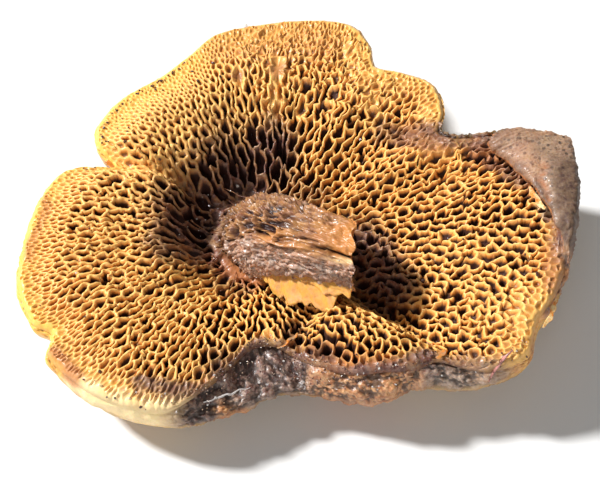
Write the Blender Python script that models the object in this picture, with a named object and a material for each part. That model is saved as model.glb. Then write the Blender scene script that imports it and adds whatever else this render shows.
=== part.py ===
"""Chicken fat suillus, a yellow bolete picked and laid on its cap with the pores up.

The cap is a lobed dish of flesh and skin that rests on a flat of its own underside.
Its margin is folded over the pores at the far right. The pore layer fills the dish,
and the stub of the broken stem leans out of its middle. All bearings are degrees
anticlockwise round the stem's foot, from +X, seen from above.
"""
import math
import random

import bmesh
import bpy
from mathutils import Matrix, Vector, noise
from mathutils.geometry import delaunay_2d_cdt

MM = 0.001

# Driving dimensions
FOOT = (-5.2 * MM, -2.2 * MM)
FOOT_RADIUS = 6.4 * MM
FOOT_HEIGHT = 4.8 * MM
DISH_FLOOR = 2.0 * MM
GAP = 0.3 * MM
REST_SHARE = 0.42
TUBE_LENGTHS = ((0.0, 2.5), (0.15, 3.6), (0.4, 5.4), (0.8, 4.4), (1.0, 1.8))
LEAST_TUBE = 1.7 * MM
TUBE_SHARES = (0.0, 0.15, 0.35, 0.6, 0.85, 1.0)
UNDERSIDE_ROUNDING = 1.25
LIP_RISE = 0.7 * MM
LIP_SINK = 0.1 * MM
LIP_SHARES = (0.0, 0.16, 0.32, 0.48, 0.66, 0.84, 1.0)
UNDERSIDE_ANGLES = (20, 42, 63, 80, 90)

# The outline, lobe by lobe and notch by notch: bearing and outer radius in mm
OUTLINE = (
    (0, 44.6), (8, 45.2), (13, 45.6), (17, 42.2), (21, 36.6), (24, 31.4), (28, 29.6),
    (34, 32.4), (42, 34.2), (50, 32.7), (57, 31.2), (62, 34.4), (69, 36.6), (81, 35.4),
    (92, 34.2), (102, 33.5), (112, 30.8), (123, 29.4), (136, 30.0), (146, 29.6), (152, 27.8),
    (156.5, 24.0), (160, 27.4), (165, 30.8), (176, 32.8), (188, 34.4), (199, 36.0), (208, 35.8),
    (212, 34.2), (217, 36.4), (227, 36.0), (248, 33.0), (257, 30.4), (267, 27.4), (278, 25.7),
    (286, 27.2), (301, 32.8), (310.5, 33.4), (321.5, 40.0), (329, 43.0), (334.5, 42.4), (342, 43.9),
)
# Height of the outermost skin above the ground, by bearing
OUTER_HEIGHTS = (
    (0, 15.5), (12, 16.0), (22, 13.4), (45, 11.0), (90, 10.4), (150, 9.0), (185, 9.0), (220, 8.4),
    (270, 7.0), (310, 8.0), (330, 10.0), (345, 13.0),
)
# Width of the bare margin between the pores and the outermost skin, by bearing
BARE_WIDTHS = (
    (0, 3.4), (18, 4.0), (32, 2.2), (60, 1.8), (150, 1.8), (205, 1.8), (225, 2.0), (242, 2.6),
    (254, 5.0), (266, 8.6), (281, 6.0), (291, 3.2), (309, 2.6), (317, 5.4), (324, 2.4), (345, 2.2),
)
# Pore surface heights at 0.35, 0.75 and 1.0 of the way from the foot to the pore edge
SURFACE_STEPS = (0.0, 0.35, 0.75, 1.0)
SURFACE_HEIGHTS = (
    (0, 7.2, 13.0, 15.6), (30, 6.8, 10.5, 12.4), (60, 8.0, 12.0, 12.6), (90, 8.5, 12.6, 12.4),
    (120, 9.5, 13.0, 11.8), (145, 10.0, 13.0, 11.4), (180, 10.8, 12.2, 10.8), (210, 10.4, 12.4, 11.2),
    (240, 9.5, 12.4, 12.0), (265, 8.0, 9.8, 10.0), (285, 7.4, 10.4, 11.0), (305, 7.6, 12.0, 12.2),
    (320, 7.0, 11.2, 13.0), (340, 7.0, 12.2, 15.0),
)
# Folds, mounds and clefts of the pore surface: from, to, half width and height, in mm from the foot
HOLLOW = ((-8.5, 4.5), (-3.0, 9.0), 4.6, -3.2)
LEFT_SHOULDER = ((-14.0, -6.0), (-14.5, 7.0), 3.4, 0.9)
FOLD_BESIDE_NOTCH = ((-23.0, 10.0), (-10.0, 7.4), 1.7, -2.4)
MOUND = ((10.0, -17.0), (16.5, -20.5), 5.4, 2.0)
CLEFT_LEFT_OF_MOUND = ((4.2, -21.0), (7.0, -13.5), 1.8, -2.8)
CLEFT_RIGHT_OF_MOUND = ((13.0, -8.0), (26.5, -22.5), 2.2, -2.8)
RELIEFS = (HOLLOW, LEFT_SHOULDER, FOLD_BESIDE_NOTCH, MOUND, CLEFT_LEFT_OF_MOUND, CLEFT_RIGHT_OF_MOUND)
UNDULATION = 0.45 * MM
UNDULATION_LENGTH = 9.0 * MM
# The folds fade out by the foot, and down to a little at the pore edge
FADE_BY_FOOT = 0.12
FADE_PAST_EDGE = 1.12
FADE_SPAN = 0.3
LEAST_FADE = 0.15
EDGE_ZONE = 0.94

# The margin folded over the pores: bearing and how far its free edge reaches inwards, in mm
FOLD_REACHES = ((22, 0.0), (18, 4.2), (11, 9.2), (4, 7.4), (-1, 6.0), (-5, 3.8), (-10, 1.6), (-13, 0.0))
FOLD_THICKNESS = 1.3 * MM
FOLD_FULL_REACH = 3.0 * MM
FOLD_HOVER = 1.2 * MM
FOLD_CROWN = 2.6 * MM
FOLD_HINGE = (2.4 * MM, 0.9 * MM)
FOLD_SHOULDER = (0.7 * MM, 0.4 * MM)
FOLD_EDGE_ROUNDING = 0.2 * MM
FOLD_SWELL = 0.3 * MM

# The stem stub, from the flesh to its torn end: distance out along its bearing, height and tilt
STEM_BEARING = math.radians(-28)
STEM_PATH = (
    (0.0, 2.3, 0), (0.1, 4.5, 12), (1.0, 7.2, 30), (3.6, 10.0, 52), (8.0, 11.4, 62), (13.4, 12.4, 66),
)
STEM_RADII = ((0, 6.1), (1, 6.1), (2, 5.8), (3, 5.7), (4, 5.9), (5, 6.1))
STEM_BREAK = 12.8 * MM
STEM_PATH_STEPS = len(STEM_PATH) - 1
STEM_RINGS = 13
STEM_SIDES = 30
STEM_RIDGES = 11
STEM_RIDGE_DEPTH = 0.35 * MM
STEM_RIDGE_TWIST = 0.8
STEM_ROUGHNESS = 0.3 * MM
STEM_LUMPS_ROUND = 2.2
BREAK_DEPTH = 1.6 * MM
BREAK_LUMPS_ROUND = 3.0
BREAK_NOISE_PLACE = 9.0

# The net of pores
PORE_WIDTH = 1.32 * MM
PORE_ASPECT = 1.55
PORE_DEPTH = 1.5 * MM
PORE_SEED = 7
PORE_TRIES = 26000
SHRINK_NEAR_EDGE = 0.28
EDGE_BELT = 5.0 * MM
PORE_BUCKET = 0.25
PORES_PAST_EDGE = 2.5 * MM
PORES_UNDER_STEM = 2.0 * MM
STRIP_WRAP = 0.7
PIT_LEAST_SHARE = 0.45
PIT_FULL_DEPTH_AT = 9.0 * MM
PIT_FLOOR = 0.5 * MM
RELAXINGS = 2
RELAX_SHARE = 0.7
CREST_UNEVENNESS = 0.3 * MM
NET_MARGIN = 0.5 * MM
STATIONS = 72


def smooth_through(knots, x, period=None):
    """A smooth curve through (place, value) knots, level at every peak and dip."""
    if period:
        first, last = knots[0], knots[-1]
        knots = [(last[0] - period, last[1])] + list(knots) + [(first[0] + period, first[1])]
        knots = [(knots[0][0] - 20.0, knots[0][1])] + knots + [(knots[-1][0] + 20.0, knots[-1][1])]
        x %= period
    if x <= knots[0][0]:
        return knots[0][1]
    if x >= knots[-1][0]:
        return knots[-1][1]
    i = next(k for k in range(len(knots) - 1) if knots[k + 1][0] >= x)
    slopes = [(b[1] - a[1]) / (b[0] - a[0]) for a, b in zip(knots, knots[1:])]

    def tangent(k):
        if k == 0 or k == len(knots) - 1:
            return 0.0
        before, after = slopes[k - 1], slopes[k]
        return 0.0 if before * after <= 0.0 else 2.0 * before * after / (before + after)

    (x0, y0), (x1, y1) = knots[i], knots[i + 1]
    h = x1 - x0
    s = (x - x0) / h
    rise = y0 * (1 + 2 * s) * (1 - s) ** 2 + y1 * s * s * (3 - 2 * s)
    return rise + h * s * (1 - s) * ((1 - s) * tangent(i) - s * tangent(i + 1))


def outer_radius(bearing):
    return smooth_through(OUTLINE, bearing, 360) * MM


def outer_height(bearing):
    return smooth_through(OUTER_HEIGHTS, bearing, 360) * MM


def pore_edge(bearing):
    return outer_radius(bearing) - smooth_through(BARE_WIDTHS, bearing, 360) * MM


def way_out(bearing, radius):
    """0 at the stem's foot and 1 at the edge of the pores."""
    return (radius - FOOT_RADIUS) / (pore_edge(bearing) - FOOT_RADIUS)


def dish_height(bearing, radius):
    """Height of the pore surface before its folds and mounds."""
    share = min(1.0, max(0.0, way_out(bearing, radius)))
    heights = [FOOT_HEIGHT / MM]
    for k in (1, 2, 3):
        heights.append(smooth_through([(row[0], row[k]) for row in SURFACE_HEIGHTS], bearing, 360))
    return smooth_through(list(zip(SURFACE_STEPS, heights)), share) * MM


def relief(x, y):
    """Folds, mounds and clefts, each a soft ridge or valley along a short line."""
    total = 0.0
    for start, end, half_width, height in RELIEFS:
        a = Vector(start) * MM
        line = Vector(end) * MM - a
        along = (Vector((x, y)) - a).dot(line) / line.length_squared
        nearest = a + line * min(1.0, max(0.0, along))
        distance = (Vector((x, y)) - nearest).length / (half_width * MM)
        total += height * MM * math.exp(-distance * distance)
    return total + UNDULATION * noise.noise(Vector((x, y, 0.0)) / UNDULATION_LENGTH)


def tube_foot(bearing, radius):
    """Height where the tubes end on the flesh."""
    tube = smooth_through(TUBE_LENGTHS, way_out(bearing, radius)) * MM
    return max(DISH_FLOOR + GAP, dish_height(bearing, radius) - tube)


def surface_height(bearing, radius):
    """Height of the pore surface above the ground."""
    x = radius * math.cos(math.radians(bearing))
    y = radius * math.sin(math.radians(bearing))
    share = way_out(bearing, radius)
    by_edge = (FADE_PAST_EDGE - share) / FADE_SPAN
    fade = min(1.0, max(0.0, share / FADE_BY_FOOT)) * min(1.0, max(LEAST_FADE, by_edge))
    height = dish_height(bearing, radius) + relief(x, y) * fade
    if share > EDGE_ZONE:
        return height
    return max(height, tube_foot(bearing, radius) + LEAST_TUBE)


def place(bearing, radius, height):
    return Vector((FOOT[0] + radius * math.cos(math.radians(bearing)),
                   FOOT[1] + radius * math.sin(math.radians(bearing)), height))


def margin_bearings(count):
    """Bearings of equal steps along the margin, so that lobes and notches get their share."""
    fine = 1440
    length = [0.0]
    for k in range(fine):
        a = place(360 * k / fine, outer_radius(360 * k / fine), 0.0)
        b = place(360 * (k + 1) / fine, outer_radius(360 * (k + 1) / fine), 0.0)
        length.append(length[-1] + (b - a).length)
    bearings = []
    k = 0
    for step in range(count):
        wanted = length[-1] * step / count
        while length[k + 1] <= wanted:
            k += 1
        part = (wanted - length[k]) / (length[k + 1] - length[k])
        bearings.append(360 * (k + part) / fine)
    return bearings


def new_object(name, mesh_data, colour, roughness):
    """A named object of its own material, its faces pointing out and shaded smooth."""
    bmesh.ops.recalc_face_normals(mesh_data, faces=mesh_data.faces)
    mesh = bpy.data.meshes.new(name)
    mesh_data.to_mesh(mesh)
    mesh_data.free()
    mesh.shade_smooth()
    material = bpy.data.materials.new(name)
    material.use_nodes = True
    shader = material.node_tree.nodes["Principled BSDF"]
    shader.inputs["Base Color"].default_value = (*colour, 1.0)
    shader.inputs["Roughness"].default_value = roughness
    shader.inputs["Metallic"].default_value = 0.0
    mesh.materials.append(material)
    obj = bpy.data.objects.new(name, mesh)
    bpy.context.scene.collection.objects.link(obj)
    return obj


def skin_between(shape, lower, upper):
    """Two triangles for each step between two rings of as many points."""
    count = len(lower)
    for i in range(count):
        j = (i + 1) % count
        shape.faces.new((lower[i], lower[j], upper[j]))
        shape.faces.new((lower[i], upper[j], upper[i]))


def close_with_point(shape, ring, point):
    tip = shape.verts.new(point)
    for i, corner in enumerate(ring):
        shape.faces.new((corner, ring[(i + 1) % len(ring)], tip))


def fold_reach(bearing):
    signed = bearing - 360 if bearing > 180 else bearing
    if not FOLD_REACHES[-1][0] < signed < FOLD_REACHES[0][0]:
        return 0.0
    return smooth_through(FOLD_REACHES[::-1], signed) * MM


def lip_path(bearing):
    """The margin's section, from the pore edge over the lip to the outermost skin."""
    outer = outer_radius(bearing)
    inner = pore_edge(bearing) + GAP
    edge_height = surface_height(bearing, pore_edge(bearing))
    top = edge_height + LIP_RISE
    low = outer_height(bearing)
    plain = []
    for s in LIP_SHARES:
        radius = (1 - s) ** 2 * inner + 2 * s * (1 - s) * outer + s * s * outer
        height = (1 - s) ** 2 * (edge_height - LIP_SINK) + 2 * s * (1 - s) * top + s * s * low
        plain.append(Vector((radius, height)))
    reach = fold_reach(bearing)
    if reach == 0.0:
        return plain
    free = outer - reach
    under = surface_height(bearing, free) + FOLD_HOVER
    crown = edge_height + FOLD_CROWN
    folded = [
        plain[0],
        Vector((outer - FOLD_HINGE[0], edge_height + FOLD_HINGE[1])),
        Vector((free + FOLD_EDGE_ROUNDING, under)),
        Vector((free, under + FOLD_THICKNESS)),
        Vector((outer - 0.5 * reach, max(crown, under + FOLD_THICKNESS + FOLD_SWELL))),
        Vector((outer - FOLD_SHOULDER[0], crown - FOLD_SHOULDER[1])),
        plain[-1],
    ]
    share = min(1.0, reach / FOLD_FULL_REACH)
    return [a.lerp(b, share) for a, b in zip(plain, folded)]


def underside_path(bearing):
    """From the outermost skin down and in to the flat that the cap rests on."""
    outer = outer_radius(bearing)
    low = outer_height(bearing)
    rest = REST_SHARE * outer
    path = []
    for angle in UNDERSIDE_ANGLES:
        turn = math.radians(angle)
        radius = rest + (outer - rest) * math.cos(turn) ** UNDERSIDE_ROUNDING
        path.append(Vector((radius, low * (1 - math.sin(turn)))))
    return path


def make_cap():
    """Flesh and skin in one: the dish under the pores, the lip, the fold and the underside."""
    shape = bmesh.new()
    bearings = margin_bearings(STATIONS)
    sections = []
    for bearing in bearings:
        edge = pore_edge(bearing)
        section = [Vector((FOOT_RADIUS, DISH_FLOOR))]
        for share in TUBE_SHARES[1:]:
            radius = FOOT_RADIUS + share * (edge - FOOT_RADIUS)
            past = GAP if share == 1.0 else 0.0
            section.append(Vector((radius + past, tube_foot(bearing, radius) - GAP)))
        sections.append(section + lip_path(bearing) + underside_path(bearing))
    rings = []
    for k in range(len(sections[0])):
        rings.append([shape.verts.new(place(b, s[k].x, s[k].y)) for b, s in zip(bearings, sections)])
    for lower, upper in zip(rings, rings[1:]):
        skin_between(shape, lower, upper)
    close_with_point(shape, rings[0], place(0.0, 0.0, DISH_FLOOR))
    close_with_point(shape, rings[-1], place(0.0, 0.0, 0.0))
    return new_object("cap", shape, (0.55, 0.36, 0.17), 0.45)


def pore_seeds():
    """Seeds of the pores, spread at random but never nearer than a pore's width.

    They are (turn, log radius) pairs. In that strip a pore that is longer along the
    radius than across it is round, so the seeds are spread and joined there.
    """
    rng = random.Random(PORE_SEED)
    reach = max(radius for bearing, radius in OUTLINE) * MM
    seeds = []
    buckets = {}
    columns = math.ceil(2 * math.pi / PORE_BUCKET)
    for attempt in range(PORE_TRIES):
        turn = rng.uniform(0.0, 2 * math.pi)
        radius = reach * math.sqrt(rng.random())
        edge = pore_edge(math.degrees(turn))
        if not FOOT_RADIUS - PORES_UNDER_STEM < radius < edge + PORES_PAST_EDGE:
            continue
        inland = min(1.0, max(0.0, (edge - radius) / EDGE_BELT))
        spacing = PORE_WIDTH * (1.0 - SHRINK_NEAR_EDGE * (1.0 - inland)) / radius
        row = math.log(radius) / PORE_ASPECT
        key = (int(turn / PORE_BUCKET), math.floor(row / PORE_BUCKET))
        clear = True
        for i in (-1, 0, 1):
            for j in (-1, 0, 1):
                for other in buckets.get(((key[0] + i) % columns, key[1] + j), ()):
                    across = abs(other[0] - turn)
                    across = min(across, 2 * math.pi - across)
                    if math.hypot(across, other[1] - row) < spacing:
                        clear = False
        if clear:
            seeds.append((turn, row))
            buckets.setdefault(key, []).append((turn, row))
    return seeds


def joined(seeds):
    """Triangles between neighbouring seeds, right round the strip."""
    points = [Vector(s) for s in seeds]
    home = list(range(len(seeds)))
    for i, (turn, row) in enumerate(seeds):
        if turn < STRIP_WRAP:
            points.append(Vector((turn + 2 * math.pi, row)))
            home.append(i)
        if turn > 2 * math.pi - STRIP_WRAP:
            points.append(Vector((turn - 2 * math.pi, row)))
            home.append(i)
    result = delaunay_2d_cdt(points, [], [], 0, 1e-9)
    source = [ids[0] for ids in result[3]]
    return [[(result[0][v], home[source[v]], source[v]) for v in face] for face in result[2]]


def pore_net():
    """Corners and cells of the net of pores: each cell is a list of corner numbers and a middle."""
    seeds = pore_seeds()
    for relaxing in range(RELAXINGS):
        pulls = {}
        for face in joined(seeds):
            for here, mine, source in face:
                if source < len(seeds):
                    pulls.setdefault(mine, []).extend((point.x, point.y) for point, home, spot in face)
        moved = []
        for i, (turn, row) in enumerate(seeds):
            near = pulls.get(i, [(turn, row)])
            mean = (sum(p[0] for p in near) / len(near), sum(p[1] for p in near) / len(near))
            moved.append((turn + RELAX_SHARE * (mean[0] - turn), row + RELAX_SHARE * (mean[1] - row)))
        seeds = moved
    corners = []
    numbers = {}
    around = {}
    for face in joined(seeds):
        middle = (face[0][0] + face[1][0] + face[2][0]) / 3
        key = tuple(sorted(mine for here, mine, source in face))
        if key not in numbers:
            numbers[key] = len(corners)
            bearing = math.degrees(middle.x)
            radius = math.exp(middle.y * PORE_ASPECT)
            corners.append((bearing % 360, radius))
        for here, mine, source in face:
            if source < len(seeds):
                angle = math.atan2(middle.y - here.y, middle.x - here.x)
                around.setdefault(mine, []).append((angle, numbers[key]))
    cells = []
    for i, ring in around.items():
        bearing = math.degrees(seeds[i][0]) % 360
        radius = math.exp(seeds[i][1] * PORE_ASPECT)
        inside = FOOT_RADIUS + 1.0 * MM < radius < pore_edge(bearing) - 0.9 * MM
        if inside and len(ring) > 3:
            cells.append(([number for angle, number in sorted(ring, reverse=True)], (bearing, radius)))
    return corners, cells


def border_loops(cells):
    """Each corner on the net's outside and inside borders, with the corner that follows it."""
    sides = set()
    for ring, middle in cells:
        sides.update(zip(ring, ring[1:] + ring[:1]))
    after = {}
    for a, b in sorted(sides):
        if (b, a) not in sides:
            after.setdefault(a, []).append(b)
    return after


def chord_radius(bearings, radii, bearing):
    """Radius at a bearing of the straight-sided outline through the stations."""
    after = next((k for k, b in enumerate(bearings) if b > bearing), 0)
    before = after - 1
    a = Vector((1.0, 0.0)) @ Matrix.Rotation(-math.radians(bearings[before]), 2) * radii[before]
    b = Vector((1.0, 0.0)) @ Matrix.Rotation(-math.radians(bearings[after]), 2) * radii[after]
    way = Vector((1.0, 0.0)) @ Matrix.Rotation(-math.radians(bearing), 2)
    side = b - a
    return (a.x * side.y - a.y * side.x) / (way.x * side.y - way.y * side.x)


def keep_inside(corners, bearings):
    """Corners drawn in where they would cross the stem's hole or the pore edge."""
    radii = [pore_edge(b) for b in bearings]
    kept = []
    for bearing, radius in corners:
        furthest = min(chord_radius(bearings, radii, bearing), pore_edge(bearing)) - NET_MARGIN
        kept.append((bearing, min(max(radius, FOOT_RADIUS + GAP + NET_MARGIN), furthest)))
    return kept


def without_pinches(cells):
    """Cells that leave each border corner on one border loop only."""
    while True:
        after = border_loops(cells)
        pinched = {corner for corner, ways in after.items() if len(ways) > 1}
        kept = [cell for cell in cells if not pinched & set(cell[0])]
        if len(kept) == len(cells):
            return cells
        cells = kept


def make_pore_layer():
    """The layer of tubes: a net of sharp ridges round pits, closed below by a smooth back."""
    shape = bmesh.new()
    corners, cells = pore_net()
    bearings = margin_bearings(STATIONS)
    corners = keep_inside(corners, bearings)
    cells = without_pinches(cells)
    used = sorted({number for ring, middle in cells for number in ring})
    top = {}
    for number in used:
        bearing, radius = corners[number]
        jitter = CREST_UNEVENNESS * noise.noise(place(bearing, radius, 0.0) / (1.1 * MM))
        top[number] = shape.verts.new(place(bearing, radius, surface_height(bearing, radius) + jitter))
    for ring, (bearing, radius) in cells:
        inland = (pore_edge(bearing) - radius) / PIT_FULL_DEPTH_AT
        depth = PORE_DEPTH * min(1.0, PIT_LEAST_SHARE + inland)
        lowest = max(surface_height(bearing, radius) - depth, tube_foot(bearing, radius) + PIT_FLOOR)
        pit = shape.verts.new(place(bearing, radius, lowest))
        for a, b in zip(ring, ring[1:] + ring[:1]):
            shape.faces.new((top[a], top[b], pit))

    backs = []
    for share in TUBE_SHARES:
        radii = [FOOT_RADIUS + share * (pore_edge(b) - FOOT_RADIUS) for b in bearings]
        if share == 0.0:
            radii = [FOOT_RADIUS + GAP] * len(bearings)
        backs.append([shape.verts.new(place(b, r, tube_foot(b, r))) for b, r in zip(bearings, radii)])
    for lower, upper in zip(backs, backs[1:]):
        skin_between(shape, lower, upper)
    rim = [shape.verts.new(place(b, pore_edge(b), surface_height(b, pore_edge(b)))) for b in bearings]
    skin_between(shape, backs[-1], rim)
    inner = [shape.verts.new(place(b, FOOT_RADIUS + GAP, surface_height(b, FOOT_RADIUS + GAP)))
             for b in bearings]
    skin_between(shape, backs[0], inner)
    fill_bands(shape, cells, top, rim, inner)
    return new_object("pore_layer", shape, (0.66, 0.40, 0.10), 0.5)


def fill_bands(shape, cells, top, rim, inner):
    """Flat triangles between the net's borders and the two smooth rims."""
    after = border_loops(cells)
    vertices = [top[number] for number in after] + rim + inner
    index = {vertex: k for k, vertex in enumerate(vertices)}
    sides = [(index[top[a]], index[top[ways[0]]]) for a, ways in after.items()]
    for ring in (rim, inner):
        sides += [(index[v], index[ring[(k + 1) % len(ring)]]) for k, v in enumerate(ring)]
    flat = [Vector((v.co.x, v.co.y)) for v in vertices]
    result = delaunay_2d_cdt(flat, sides, [], 0, 1e-9)
    net_sides = sides[:len(after)]
    walls = set(sides) | {(b, a) for a, b in sides}
    faces = [tuple(result[3][v][0] for v in face) for face in result[2]]
    beside = {}
    for face in faces:
        for a, b in zip(face, face[1:] + face[:1]):
            beside[(a, b)] = face
    waiting = [beside[(b, a)] for a, b in net_sides if (b, a) in beside]
    chosen = set()
    while waiting:
        face = waiting.pop()
        if face in chosen:
            continue
        chosen.add(face)
        for a, b in zip(face, face[1:] + face[:1]):
            if (a, b) not in walls and (b, a) in beside:
                waiting.append(beside[(b, a)])
    for face in chosen:
        shape.faces.new([vertices[v] for v in face])


def stem_section(step):
    """Middle, axis, two directions across and radius of the stem at a step of its path."""
    away, height, tilt = (smooth_through([(i, row[c]) for i, row in enumerate(STEM_PATH)], step)
                          for c in range(3))
    tilt = math.radians(tilt)
    lean = Vector((math.cos(STEM_BEARING), math.sin(STEM_BEARING), 0.0))
    up = Vector((0.0, 0.0, 1.0))
    middle = Vector((*FOOT, 0.0)) + lean * (away * MM) + up * (height * MM)
    axis = lean * math.sin(tilt) + up * math.cos(tilt)
    under = lean * math.cos(tilt) - up * math.sin(tilt)
    return middle, axis, under, up.cross(lean), smooth_through(STEM_RADII, step) * MM


def stem_point(turn, step):
    """A point of the stem's skin: turn 0 is its lower side, where it leans."""
    middle, axis, under, side, radius = stem_section(step)
    ridge = STEM_RIDGE_DEPTH * (0.5 + 0.5 * math.cos(STEM_RIDGES * turn + STEM_RIDGE_TWIST * step))
    around = Vector((math.cos(turn), math.sin(turn), 0.0))
    rough = STEM_ROUGHNESS * noise.noise(STEM_LUMPS_ROUND * around + Vector((0.0, 0.0, step)))
    point = middle + (under * math.cos(turn) + side * math.sin(turn)) * (radius - ridge + rough)
    ragged = noise.noise(BREAK_LUMPS_ROUND * around + Vector((0.0, 0.0, BREAK_NOISE_PLACE)))
    break_at = FOOT[0] + STEM_BREAK + BREAK_DEPTH * ragged
    near_end = max(0.0, step - STEM_PATH_STEPS + 2) / 2
    return point + axis * (near_end ** 2 * (break_at - point.x) / axis.x if near_end else 0.0)


def make_stem():
    """The stub of the stem: upright out of the flesh, then leaning over to its torn end."""
    shape = bmesh.new()
    rings = []
    for k in range(STEM_RINGS):
        step = STEM_PATH_STEPS * k / (STEM_RINGS - 1)
        ring = [shape.verts.new(stem_point(2 * math.pi * i / STEM_SIDES, step)) for i in range(STEM_SIDES)]
        rings.append(ring)
    for lower, upper in zip(rings, rings[1:]):
        skin_between(shape, lower, upper)
    close_with_point(shape, rings[0], place(0.0, 0.0, STEM_PATH[0][1] * MM))
    end = sum((v.co for v in rings[-1]), Vector()) / STEM_SIDES
    axis = stem_section(STEM_PATH_STEPS)[1]
    inner = [shape.verts.new(v.co.lerp(end, 0.5) - axis * (0.5 * BREAK_DEPTH)) for v in rings[-1]]
    skin_between(shape, rings[-1], inner)
    close_with_point(shape, inner, end - axis * (0.3 * BREAK_DEPTH))
    return new_object("stem", shape, (0.48, 0.26, 0.11), 0.55)


def main():
    for old in list(bpy.data.objects):
        bpy.data.objects.remove(old)
    make_cap()
    make_pore_layer()
    make_stem()


main()
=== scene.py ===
"""Chicken fat suillus, a yellow bolete picked and laid on its cap with the pores up.

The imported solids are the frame. Here the cap gets its wrinkled and soiled skin, the pore
layer its thin wavy tube walls, and the stem its net, fibres and torn end. Soil grains,
a needle and threads of torn tissue lie on them.
All bearings are degrees anticlockwise round the stem's foot, from +X, seen from above.
"""
import math
import random

import bmesh
import bpy
import numpy as np
from mathutils import Matrix, Vector, noise
from mathutils.geometry import delaunay_2d_cdt


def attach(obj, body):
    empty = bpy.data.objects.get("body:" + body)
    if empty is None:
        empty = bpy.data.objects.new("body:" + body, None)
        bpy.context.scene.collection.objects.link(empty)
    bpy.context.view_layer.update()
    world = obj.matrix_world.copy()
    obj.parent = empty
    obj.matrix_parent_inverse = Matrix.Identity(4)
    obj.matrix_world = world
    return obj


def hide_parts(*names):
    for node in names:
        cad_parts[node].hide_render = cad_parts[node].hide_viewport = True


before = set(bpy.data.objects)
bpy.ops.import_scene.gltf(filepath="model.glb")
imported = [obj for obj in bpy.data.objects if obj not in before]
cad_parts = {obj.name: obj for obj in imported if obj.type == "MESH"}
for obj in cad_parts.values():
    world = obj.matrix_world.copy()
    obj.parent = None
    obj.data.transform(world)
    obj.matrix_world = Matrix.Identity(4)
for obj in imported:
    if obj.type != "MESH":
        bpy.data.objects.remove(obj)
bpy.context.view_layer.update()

bl_info = {
    "name": "Chicken fat suillus",
    "version": (1, 0, 0),
    "blender": (4, 5, 0),
    "location": "3D View > Sidebar > Mushroom",
    "description": "Dresses the solids of a picked yellow bolete, piece by piece",
    "category": "Object",
}

MM = 0.001

# Driving dimensions. They are the solids' own, apart from the outline and bare width on the near
# right, the fold's reaches, thickness and hover, the lip's sink and the depth of the break
FOOT = (-5.2 * MM, -2.2 * MM)
FOOT_RADIUS = 6.4 * MM
FOOT_HEIGHT = 4.8 * MM
DISH_FLOOR = 2.0 * MM
GAP = 0.3 * MM
REST_SHARE = 0.42
TUBE_LENGTHS = ((0.0, 2.5), (0.15, 3.6), (0.4, 5.4), (0.8, 4.4), (1.0, 1.8))
BACK_SHARES = (0.0, 0.08, 0.16, 0.24, 0.33, 0.43, 0.54, 0.66, 0.8, 0.9, 1.0)
UNDERSIDE_ROUNDING = 1.25
# Bearing, and radius of the outermost skin in mm
OUTLINE = (
    (0, 44.6), (8, 45.2), (13, 45.6), (17, 42.2), (21, 36.6), (24, 31.4), (28, 29.6),
    (34, 32.4), (42, 34.2), (50, 32.7), (57, 31.2), (62, 34.4), (69, 36.6), (81, 35.4),
    (92, 34.2), (102, 33.5), (112, 30.8), (123, 29.4), (136, 30), (146, 29.6), (152, 27.8),
    (156.5, 24), (160, 27.4), (165, 30.8), (176, 32.8), (188, 34.4), (199, 36), (208, 35.8),
    (212, 34.2), (217, 36.4), (227, 36), (248, 33), (257, 30.4), (267, 27.4), (278, 25.7),
    (286, 26.8), (301, 31.4), (310.5, 33), (321.5, 40), (329, 43), (334.5, 42.2), (342, 43.3),
    (350, 43.8),
)
# Bearing, and height of the outermost skin in mm
OUTER_HEIGHTS = (
    (0, 15.5), (12, 16), (22, 13.4), (45, 11), (90, 10.4), (150, 9), (185, 9), (220, 8.4),
    (270, 7), (310, 8), (330, 10), (345, 13),
)
# Bearing, and width of the margin that has no pores in mm
BARE_WIDTHS = (
    (0, 3.4), (18, 4), (32, 2.2), (60, 1.8), (150, 1.8), (205, 1.8), (225, 2), (242, 2.6),
    (254, 5), (266, 8.6), (281, 6), (291, 3.8), (303, 3.6), (310, 2.8), (317, 5.4),
    (324, 2.4), (345, 2.2),
)
SURFACE_STEPS = (0.0, 0.35, 0.75, 1.0)
# Bearing, and heights of the pore surface in mm at the last three of the steps
SURFACE_HEIGHTS = (
    (0, 7.2, 13, 15.6), (30, 6.8, 10.5, 12.4), (60, 8, 12, 12.6), (90, 8.5, 12.6, 12.4),
    (120, 9.5, 13, 11.8), (145, 10, 13, 11.4), (180, 10.8, 12.2, 10.8), (210, 10.4, 12.4, 11.2),
    (240, 9.5, 12.4, 12), (265, 8, 9.8, 10), (285, 7.4, 10.4, 11), (305, 7.6, 12, 12.2),
    (320, 7, 11.2, 13), (340, 7, 12.2, 15),
)
# Folds, mounds and clefts of the pore surface: from, to, half width and height, in mm from the foot
RELIEFS = (
    ((-8.5, 4.5), (-3, 9), 4.6, -3.2),
    ((-14, -6), (-14.5, 7), 3.4, 0.9),
    ((-23, 10), (-10, 7.4), 1.7, -2.4),
    ((10, -17), (16.5, -20.5), 5.4, 2),
    ((4.2, -21), (7, -13.5), 1.8, -2.8),
    ((13, -8), (26.5, -22.5), 2.2, -2.8),
)
UNDULATION = 0.45 * MM
UNDULATION_LENGTH = 9.0 * MM
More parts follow.
